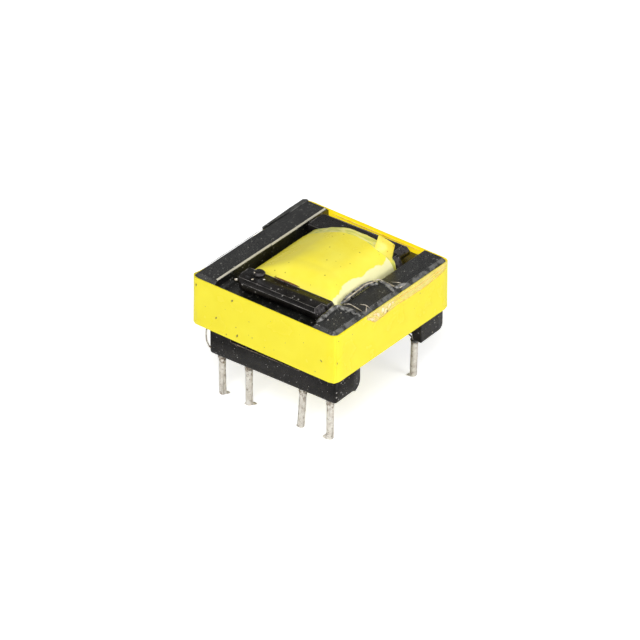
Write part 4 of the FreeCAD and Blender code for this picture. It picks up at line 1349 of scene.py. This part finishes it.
@dataclass
class Belt:
    """The tape wound round the core, with the specks and the amber varnish on it."""

    half_x: float = 10.15
    half_y: float = 10.25
    corner: float = 0.55
    gap: float = 0.015
    turns: float = 3.2
    pitch: float = 0.058
    thickness: float = 0.052
    low: float = 4.5
    high: float = 10.7
    left_drop: float = 0.24
    drop_run: float = 3.0
    steps: int = 420
    slot: str = "belt_tape"
    front_dirt: tuple[Point, ...] = (
        (-6.63, 6.51, 0.18), (-4.31, 9.71, 0.2), (-3.61, 5.33, 0.22), (-1.45, 5.94, 0.09),
        (-9.5, 9.75, 0.19), (8.4, 6.9, 0.18), (7.55, 5.16, 0.10), (-1.9, 7.9, 0.07), (3.3, 7.2, 0.06),
        (5.9, 8.3, 0.06), (-8.2, 7.4, 0.06), (1.2, 9.2, 0.05), (-5.3, 8.2, 0.05))
    right_dirt: tuple[Point, ...] = ((-10.0, 7.11, 0.13), (-7.35, 9.63, 0.10), (-2.2, 7.0, 0.05),
                                     (4.6, 8.0, 0.06), (0.8, 6.4, 0.05))
    glob: tuple[Point, ...] = (
        (-4.55, 10.25, 0.22), (-4.0, 10.0, 0.34), (-3.4, 9.7, 0.30), (-2.8, 9.95, 0.42), (-3.3, 10.3, 0.34),
        (-2.0, 10.2, 0.36), (-1.5, 9.85, 0.34), (-0.8, 10.15, 0.32), (-0.2, 10.3, 0.2))
    film_ends: Pair = (-5.0, 9.75)
    film_edge: Knots = ((-5.0, 10.4), (-4.46, 10.11), (-3.37, 9.23), (-2.29, 9.28), (-1.38, 9.35),
                        (0.61, 9.55), (2.97, 9.42), (5.72, 9.38), (8.46, 9.61), (9.75, 9.91))

    def place(self, travel: float, out: float) -> Vector:
        """A place on the belt's path, in the core's frame.

        Args:
            travel: Turns travelled from the middle of the rear face, seen from above leftwards.
            out: How far outside the core.

        Returns:
            The place, at no height.
        """
        flat_x, flat_y = self.half_x - self.corner, self.half_y - self.corner
        arc = math.pi / 2 * self.corner
        lengths = [2 * flat_x, arc, 2 * flat_y, arc] * 2
        left = travel % 1.0 * sum(lengths)
        centres = ((flat_x, flat_y), (-flat_x, flat_y), (-flat_x, -flat_y), (flat_x, -flat_y))
        for side, length in enumerate(lengths):
            if left <= length:
                break
            left -= length
        quarter = side // 2
        start, end = centres[quarter], centres[(quarter + 1) % 4]
        facing = math.pi / 2 * (quarter + 1)
        if side % 2:
            angle = facing + left / self.corner
            reach = self.corner + out
            return Vector((end[0] + reach * math.cos(angle), end[1] + reach * math.sin(angle), 0.0))
        share = left / length
        reach = self.corner + out
        return Vector((start[0] + (end[0] - start[0]) * share + reach * math.cos(facing),
                       start[1] + (end[1] - start[1]) * share + reach * math.sin(facing), 0.0))

    @property
    def wall(self) -> float:
        """How thick the wound turns are."""
        return self.gap + self.pitch * self.turns

    def build(self) -> None:
        """Make the wound tape, its specks and the varnish on it."""
        seed = bpy.data.meshes.new("belt_line")
        middle = (self.low + self.high) / 2
        line = []
        for travel in spread(0.0, self.turns, self.steps + 1):
            spot = self.place(travel, 0.0)
            on_left = spot.x < 0.01 - self.half_x
            left = min((self.half_y - abs(spot.y)) / self.drop_run, 1.0) if on_left else 0.0
            lift = self.pitch * travel * (0.86 - 0.4 * left)
            spot = self.place(travel, self.gap + self.thickness / 2 + lift)
            wander = 0.05 * noise.noise(Vector((travel * 3.0, 0.4, 0.0))) - 0.02 * math.floor(travel)
            line.append(on_core(spot.x, spot.y, middle + wander - self.left_drop * left) * MM)
        seed.from_pydata(line, [(step, step + 1) for step in range(self.steps)], [])
        mesh = TREES.ribbon.grow("wound_belt", seed, BELT_TAPE, Thickness=self.thickness * MM,
                                 Height=(self.high - self.low - 0.06) * MM, Ripple=0.05 * MM, Waves=260.0)
        piece("wound_belt", round_over(mesh, 35.0), BELT_TAPE, self.slot, "core_tape")
        out = self.half_y + self.wall
        marks = [core_mark(x, -out, z, size, (0.0, -1.0, 0.0)) for x, z, size in self.front_dirt]
        marks += self._on_right(0.0, self.right_dirt)
        TREES.specks("belt_specks", marks, DIRT, self.slot, 0.10)
        piece("amber_film", skin("amber_film", self._film()), AMBER, self.slot)
        TREES.specks("varnish_glob", self._on_right(0.08, self.glob), GLOB, self.slot, 0.35)
        TREES.lines("amber_lines", self._lines(), AMBER_LINE, self.slot, 1.2)
        dot = (on_core(self.half_x + self.wall + 0.12, -1.18, 9.66), Vector((1.0, 0.0, 0.0)), 0.15)
        TREES.specks("varnish_dot", [dot], BURNT, self.slot, 0.4)

    def _on_right(self, lift: float, spots: tuple[Point, ...]) -> list[Mark]:
        """Marks on the belt's right face.

        Args:
            lift: How far off the face they lie.
            spots: Each one's place along, height and half width.

        Returns:
            The marks.
        """
        side = self.half_x + self.wall + lift
        return [core_mark(side, y, z, size, (1.0, 0.0, 0.0)) for y, z, size in spots]

    def _film(self) -> list[Points]:
        """The amber film that ran over the right face, thicker under the glob.

        Returns:
            Its sections, from front to rear.
        """
        side = self.half_x + self.wall
        start, stop = self.film_ends
        rows = []
        for y in spread(start, stop, 90):
            bottom = follow(self.film_edge, y) + 0.05 * noise.noise(Vector((0.0, y * 2.2, 1.0)))
            ends = min(max((y - start) / 0.8, 0.0), 1.0) * min(max((stop - y) / 0.6, 0.0), 1.0)
            front, back = [], []
            for share in spread(0.0, 1.0, 14):
                z = bottom + (self.high + 0.02 - bottom) * share
                rise = ends * math.sin(math.pi * min(share + 0.08, 1.0)) ** 0.5 * 0.07
                lump = math.exp(-((y + 2.9) / 1.1) ** 2 - ((z - 9.95) / 0.55) ** 2)
                rough = 0.5 + noise.noise(Vector((y * 1.6, z * 1.6, 3.0)))
                front.append(on_core(side + max(rise + 0.2 * lump * rough, 0.004), y, z))
                back.append(on_core(side - 0.02, y, z))
            rows.append(front + back[::-1])
        return rows

    def _lines(self) -> list[Strand]:
        """The two lines in the amber film and the one along the rear face's upper edge.

        Returns:
            The lines.
        """
        side = self.half_x + self.wall
        edge = [on_core(side + 0.03, y, follow(self.film_edge, y) + 0.03) for y in spread(-4.2, 9.6, 26)]
        upper = [on_core(side + 0.05, y, 10.28 - 0.02 * y + 0.06 * math.sin(y))
                 for y in spread(-1.0, 9.3, 20)]
        seam = [on_core(x, self.half_y - 0.02, 10.28) for x in spread(-6.4, 6.2, 12)]
        return [Strand(edge, 0.05), Strand(upper, 0.045), Strand(seam, 0.05)]


@dataclass
class Varnish:
    """Runs, threads and drops of varnish on the right bar and beside the former, and painted glints on the
    bar.
    """

    bar_top: float = 11.0
    slot: str = "ferrite"

    def line(self, girth: float, *places: Pair, lift: float = 0.04) -> Strand:
        """A line over the bar.

        Args:
            girth: Its radius.
            places: Its points in the core's frame.
            lift: How far its middle lies above the bar.

        Returns:
            The line.
        """
        return Strand([on_core(x, y, self.bar_top + lift) for x, y in places], girth)

    def build(self) -> None:
        """Make the beads, threads, painted glints and drops."""
        beads = [
            self.line(0.28, (7.04, -9.67), (7.05, -8.61), (6.85, -6.94), (6.86, -5.87), (7.36, -5.61),
                      (8.13, -5.51), (9.2, -5.44), (10.0, -5.55)),
            self.line(0.32, (6.78, -4.88), (6.75, -4.12), (6.59, -2.66), (6.52, -1.12), (6.61, 0.02),
                      (7.01, 0.6), (7.6, 0.8)),
            self.line(0.22, (7.19, 1.28), (7.75, 1.46), (8.57, 1.32), (9.43, 0.95), (9.95, 0.67)),
            self.line(0.24, (9.3, 1.4), (9.62, 1.72), (9.76, 2.4), (9.9, 2.9)),
        ]
        TREES.lines("varnish_beads", beads, DARK_VARNISH, self.slot, 0.9, 12)
        threads = [
            self.line(0.075, (7.08, -4.72), (6.96, -3.49), (6.89, -1.96), (6.81, -0.42), (7.08, 0.32),
                      (7.31, 1.3), (7.91, 1.25), lift=0.34),
            self.line(0.07, (7.41, 1.72), (8.32, 1.65), (9.22, 1.58), (9.87, 1.83), (9.9, 2.44), lift=0.06),
            self.line(0.04, (8.47, 2.17), (9.06, 2.51), (9.54, 2.63)),
            self.line(0.055, (7.17, -4.83), (7.69, -4.42), (8.81, -4.57), (9.62, -4.71), lift=0.06),
            self.line(0.045, (8.56, -3.72), (9.21, -3.46), (9.93, -3.67), lift=0.06),
            self.line(0.05, (9.3, -3.5), (9.75, -4.1), (10.1, -4.6)),
        ]
        TREES.lines("varnish_threads", threads, CLEAR_VARNISH, self.slot, 1.0, 8)
        # Painted highlights: three glints on the right bar; the fourth flake is a real resin drop by the
        # ledge.
        glints = [(on_core(7.72, -8.4, 11.01), UP, 0.08), (on_core(8.75, -8.62, 11.01), UP, 0.05),
                  (on_core(7.96, -6.37, 11.01), UP, 0.06), (Vector((-6.5, -6.8, 10.35)), UP, 0.18)]
        TREES.specks("glints_and_resin_drop", glints, GLINT_AND_RESIN, self.slot, 0.8)


@dataclass(frozen=True)
class Patch:
    """A flat area that dust lies on."""

    corner: Point
    along: Point
    across: Point
    count: int
    askew: bool = False

    def marks(self, chance: random.Random) -> list[Mark]:
        """Flakes strewn over the area.

        Args:
            chance: The source of chance.

        Returns:
            Each flake's place, the way it faces and its half width in millimetres.
        """
        corner, along, across = Vector(self.corner), Vector(self.along), Vector(self.across)
        facing = along.cross(across).normalized()
        made = []
        for flake in range(self.count):
            place = corner + along * chance.random() + across * chance.random()
            made.append((CORE_FRAME @ place if self.askew else place, facing, chance.uniform(0.022, 0.06)))
        return made


@dataclass
class Dust:
    """Pale dust on the former's rail and ledge and on the core's bars."""

    seed: int = 11
    former: tuple[Patch, ...] = (
        Patch((-8.5, -8.74, 1.0), (17.0, 0.0, 0.0), (0.0, 0.0, 2.2), 60),
        Patch((8.93, -8.3, 1.0), (0.0, 1.8, 0.0), (0.0, 0.0, 2.8), 12),
        Patch((-5.0, -7.1, 11.24), (9.4, 0.0, 0.0), (0.0, 2.0, 0.0), 24))
    core: tuple[Patch, ...] = (
        Patch((-9.5, -9.5, 11.0), (1.9, 0.0, 0.0), (0.0, 19.0, 0.0), 80, True),
        Patch((7.4, -9.0, 11.0), (1.6, 0.0, 0.0), (0.0, 18.2, 0.0), 36, True))

    def build(self) -> None:
        """Strew the dust."""
        chance = random.Random(self.seed)
        strewn = (("former_dust", self.former, "bobbin_plastic"), ("core_dust", self.core, "ferrite"))
        for name, patches, slot in strewn:
            marks = [mark for patch in patches for mark in patch.marks(chance)]
            TREES.specks(name, marks, DUST, slot, 0.3)


@dataclass
class Pins:
    """The seven tinned pins with the solder left on their tips, and their wires."""

    count: int = 7
    varnished_lead: int = 5
    girth: float = 0.415
    shank: float = 0.32
    tip: float = -4.7
    sides: int = 20
    view_right: float = math.radians(36.85)
    leans: Knots = ((0.03, -0.02), (-0.02, 0.02), (-0.28, -0.08), (-0.05, 0.0), (-0.22, 0.08), (0.05, 0.03),
                    (-0.04, 0.05))
    feet: tuple[Knots, ...] = (
        ((0.0, 0.5),), ((0.0, 0.55), (math.pi, 0.15)), ((math.pi, 0.12),), ((math.pi, 0.45),),
        ((math.pi, 0.4),), ((0.6, 0.4),), ((2.2, 0.35),))
    foot_heights: tuple[float, ...] = (0.2, 0.18, 0.3, 0.5, 0.2, 0.2, 0.25)
    loop: tuple[Point, ...] = ((-8.7, -8.5, 4.35), (-8.98, -8.95, 4.1), (-9.0, -9.12, 3.3),
                               (-8.98, -9.05, 2.4), (-8.9, -8.75, 1.6), (-8.75, -8.5, 1.2))

    def build(self) -> None:
        """Make each pin, lumpy with tin and with its foot of solder."""
        for number in range(1, self.count + 1):
            piece(f"tinned_pin_{number}", self._pin(number), TIN, "tinned_pin", f"pin_{number}")
        loop = [Vector(place) for place in self.loop]
        TREES.lines("loose_wire", [Strand(loop, 0.09, 1.0)], TIN, "lead_wire", 0.2)

    def _pin(self, number: int) -> bpy.types.Mesh:
        """One pin.

        Args:
            number: Its number, from 1.

        Returns:
            Its mesh.
        """
        low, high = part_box(f"pin_{number}")
        middle = (low + high) / 2 / MM
        top = high.z / MM
        lean = Vector((*self.leans[number - 1], 0.0))
        heights = [top, 0.12, 0.0]
        heights += spread(-0.12, self.tip + 0.5, 22) + spread(self.tip + 0.44, self.tip, 12)
        rows = []
        for z in heights:
            along = max(-z, 0.0) / -self.tip
            row = []
            for side in range(self.sides):
                angle = math.tau * side / self.sides
                reach = self.shank if z > 0 else self.girth
                if z <= 0:
                    way = Vector((math.cos(angle), math.sin(angle), z * 1.3 + 7.0 * number))
                    reach += 0.035 * noise.noise(way * 1.1) + 0.02 * noise.noise(way * 3.3)
                    reach += self._foot(number, angle, z) - 0.05 * max(0.0, 1 - (z - self.tip) / 0.08)
                    reach += 0.05 * math.exp(-((z + 0.05) / 0.12) ** 2)
                spot = Vector((reach * math.cos(angle), reach * math.sin(angle), z))
                row.append(Vector((middle.x, middle.y, 0.0)) + lean * along + spot)
            rows.append(row)
        return skin(f"tinned_pin_{number}", rows)

    def _foot(self, number: int, angle: float, z: float) -> float:
        """How far the solder at the tip reaches beyond the pin.

        Args:
            number: The pin's number.
            angle: The way it is looked at.
            z: The height.

        Returns:
            The reach, in millimetres.
        """
        above = (z - self.tip) / self.foot_heights[number - 1]
        spread_out = math.exp(-(above - 0.5) ** 2 / 0.25)
        reach = 0.0
        for way, size in self.feet[number - 1]:
            turn = (angle - self.view_right - way + math.pi) % math.tau - math.pi
            reach += size * math.exp(-(turn / 0.55) ** 2) * spread_out
        return reach

    def dress(self) -> None:
        """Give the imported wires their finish."""
        for number in range(1, self.count + 1):
            dress(DARK_VARNISH if number == self.varnished_lead else TIN, f"lead_{number}")


@dataclass
class Studio:
    """Floor, light and camera."""

    floor_z: float = -4.7 * MM
    floor_half: float = 1.5
    floor_colour: Colour = (0.93, 0.93, 0.93)
    floor_glow: float = 0.5
    world_light: float = 0.33
    azimuth: float = 36.85
    elevation: float = 32.82
    roll: float = 0.21
    distance: float = 791.4 * MM
    lens: float = 394.9
    shift_x: float = -0.0006
    shift_y: float = -0.010
    target: Vector = Vector((-0.203 * MM, 0.555 * MM, 4.5 * MM))
    lamps: tuple[tuple[str, Point, float, float], ...] = (
        ("key", (0.10, -0.18, 0.22), 0.16, 0.57), ("fill_front", (-0.16, -0.24, 0.14), 0.18, 0.14),
        ("fill_right", (0.28, 0.02, 0.12), 0.14, 0.34))

    def build(self) -> None:
        """Make floor, world, lamps and camera."""
        bpy.context.scene.view_settings.view_transform = "Standard"
        self._floor()
        self._world()
        for name, place, width, watts in self.lamps:
            self._lamp(name, Vector(place), width, watts)
        self._camera()

    def _floor(self) -> None:
        """A plain pale floor that keeps the shadow."""
        mesh = bpy.data.meshes.new("floor")
        h, z = self.floor_half, self.floor_z
        mesh.from_pydata([(-h, -h, z), (h, -h, z), (h, h, z), (-h, h, z)], [], [(0, 1, 2, 3)])
        floor = bpy.data.objects.new("floor", mesh)
        bpy.context.scene.collection.objects.link(floor)
        made = bpy.data.materials.new("floor_paper")
        made.use_nodes = True
        made.node_tree.nodes.clear()
        wires = Wiring(made.node_tree)
        paper = wires.add("ShaderNodeBsdfDiffuse", {"Color": (*self.floor_colour, 1.0)})
        path = wires.add("ShaderNodeLightPath")
        seen = wires.math("MULTIPLY", path.outputs["Is Camera Ray"], self.floor_glow)
        glow = wires.add("ShaderNodeEmission", {"Color": (1.0, 1.0, 1.0, 1.0), "Strength": seen})
        both = wires.add("ShaderNodeAddShader", {0: paper.outputs[0], 1: glow.outputs[0]})
        wires.add("ShaderNodeOutputMaterial", {"Surface": both.outputs[0]})
        mesh.materials.append(made)

    def _world(self) -> None:
        """An even white surround, seen as white and lighting less."""
        world = bpy.data.worlds.new("surround")
        world.use_nodes = True
        world.node_tree.nodes.clear()
        wires = Wiring(world.node_tree)
        path = wires.add("ShaderNodeLightPath")
        seen = wires.math("MAXIMUM", path.outputs["Is Camera Ray"], path.outputs["Is Transmission Ray"])
        level = wires.remap(seen, 0.0, 1.0, self.world_light, 1.0)
        light = wires.add("ShaderNodeBackground", {"Color": (1.0, 1.0, 1.0, 1.0), "Strength": level})
        wires.add("ShaderNodeOutputWorld", {"Surface": light.outputs[0]})
        bpy.context.scene.world = world

    def _lamp(self, name: str, place: Vector, width: float, watts: float) -> None:
        """A square soft lamp that points at the object.

        Args:
            name: The lamp's name.
            place: Where it stands.
            width: Its side, in metres.
            watts: Its power.
        """
        lamp = bpy.data.lights.new(name, "AREA")
        lamp.size = width
        lamp.energy = watts
        made = bpy.data.objects.new(name, lamp)
        made.location = place
        made.rotation_mode = "QUATERNION"
        made.rotation_quaternion = (self.target - place).to_track_quat("-Z", "Y")
        bpy.context.scene.collection.objects.link(made)

    def _camera(self) -> None:
        """The camera at the photograph's viewing angle."""
        data = bpy.data.cameras.new("camera")
        data.lens = self.lens
        data.sensor_width = 36.0
        data.shift_x = self.shift_x
        data.shift_y = self.shift_y
        data.clip_start = 0.05
        data.clip_end = 10.0
        turn, rise = math.radians(self.azimuth), math.radians(self.elevation)
        back = Vector((math.sin(turn) * math.cos(rise), -math.cos(turn) * math.cos(rise), math.sin(rise)))
        camera = bpy.data.objects.new("camera", data)
        camera.rotation_mode = "QUATERNION"
        upright = (-back).to_track_quat("-Z", "Y")
        camera.rotation_quaternion = upright @ Quaternion((0, 0, 1), math.radians(self.roll))
        camera.location = self.target + back * self.distance
        bpy.context.scene.collection.objects.link(camera)
        bpy.context.scene.camera = camera


def main() -> None:
    """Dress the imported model, add what only the looks need, and light it."""
    logging.basicConfig(level=logging.INFO, format="%(name)s: %(message)s")
    for part in (Core(), Coil(), Pins()):
        part.dress()
    for part in (Core(), Former(), Coil(), Belt(), Varnish(), Dust(), Pins()):
        part.build()
    Studio().build()


if __name__ == "__main__":
    main()
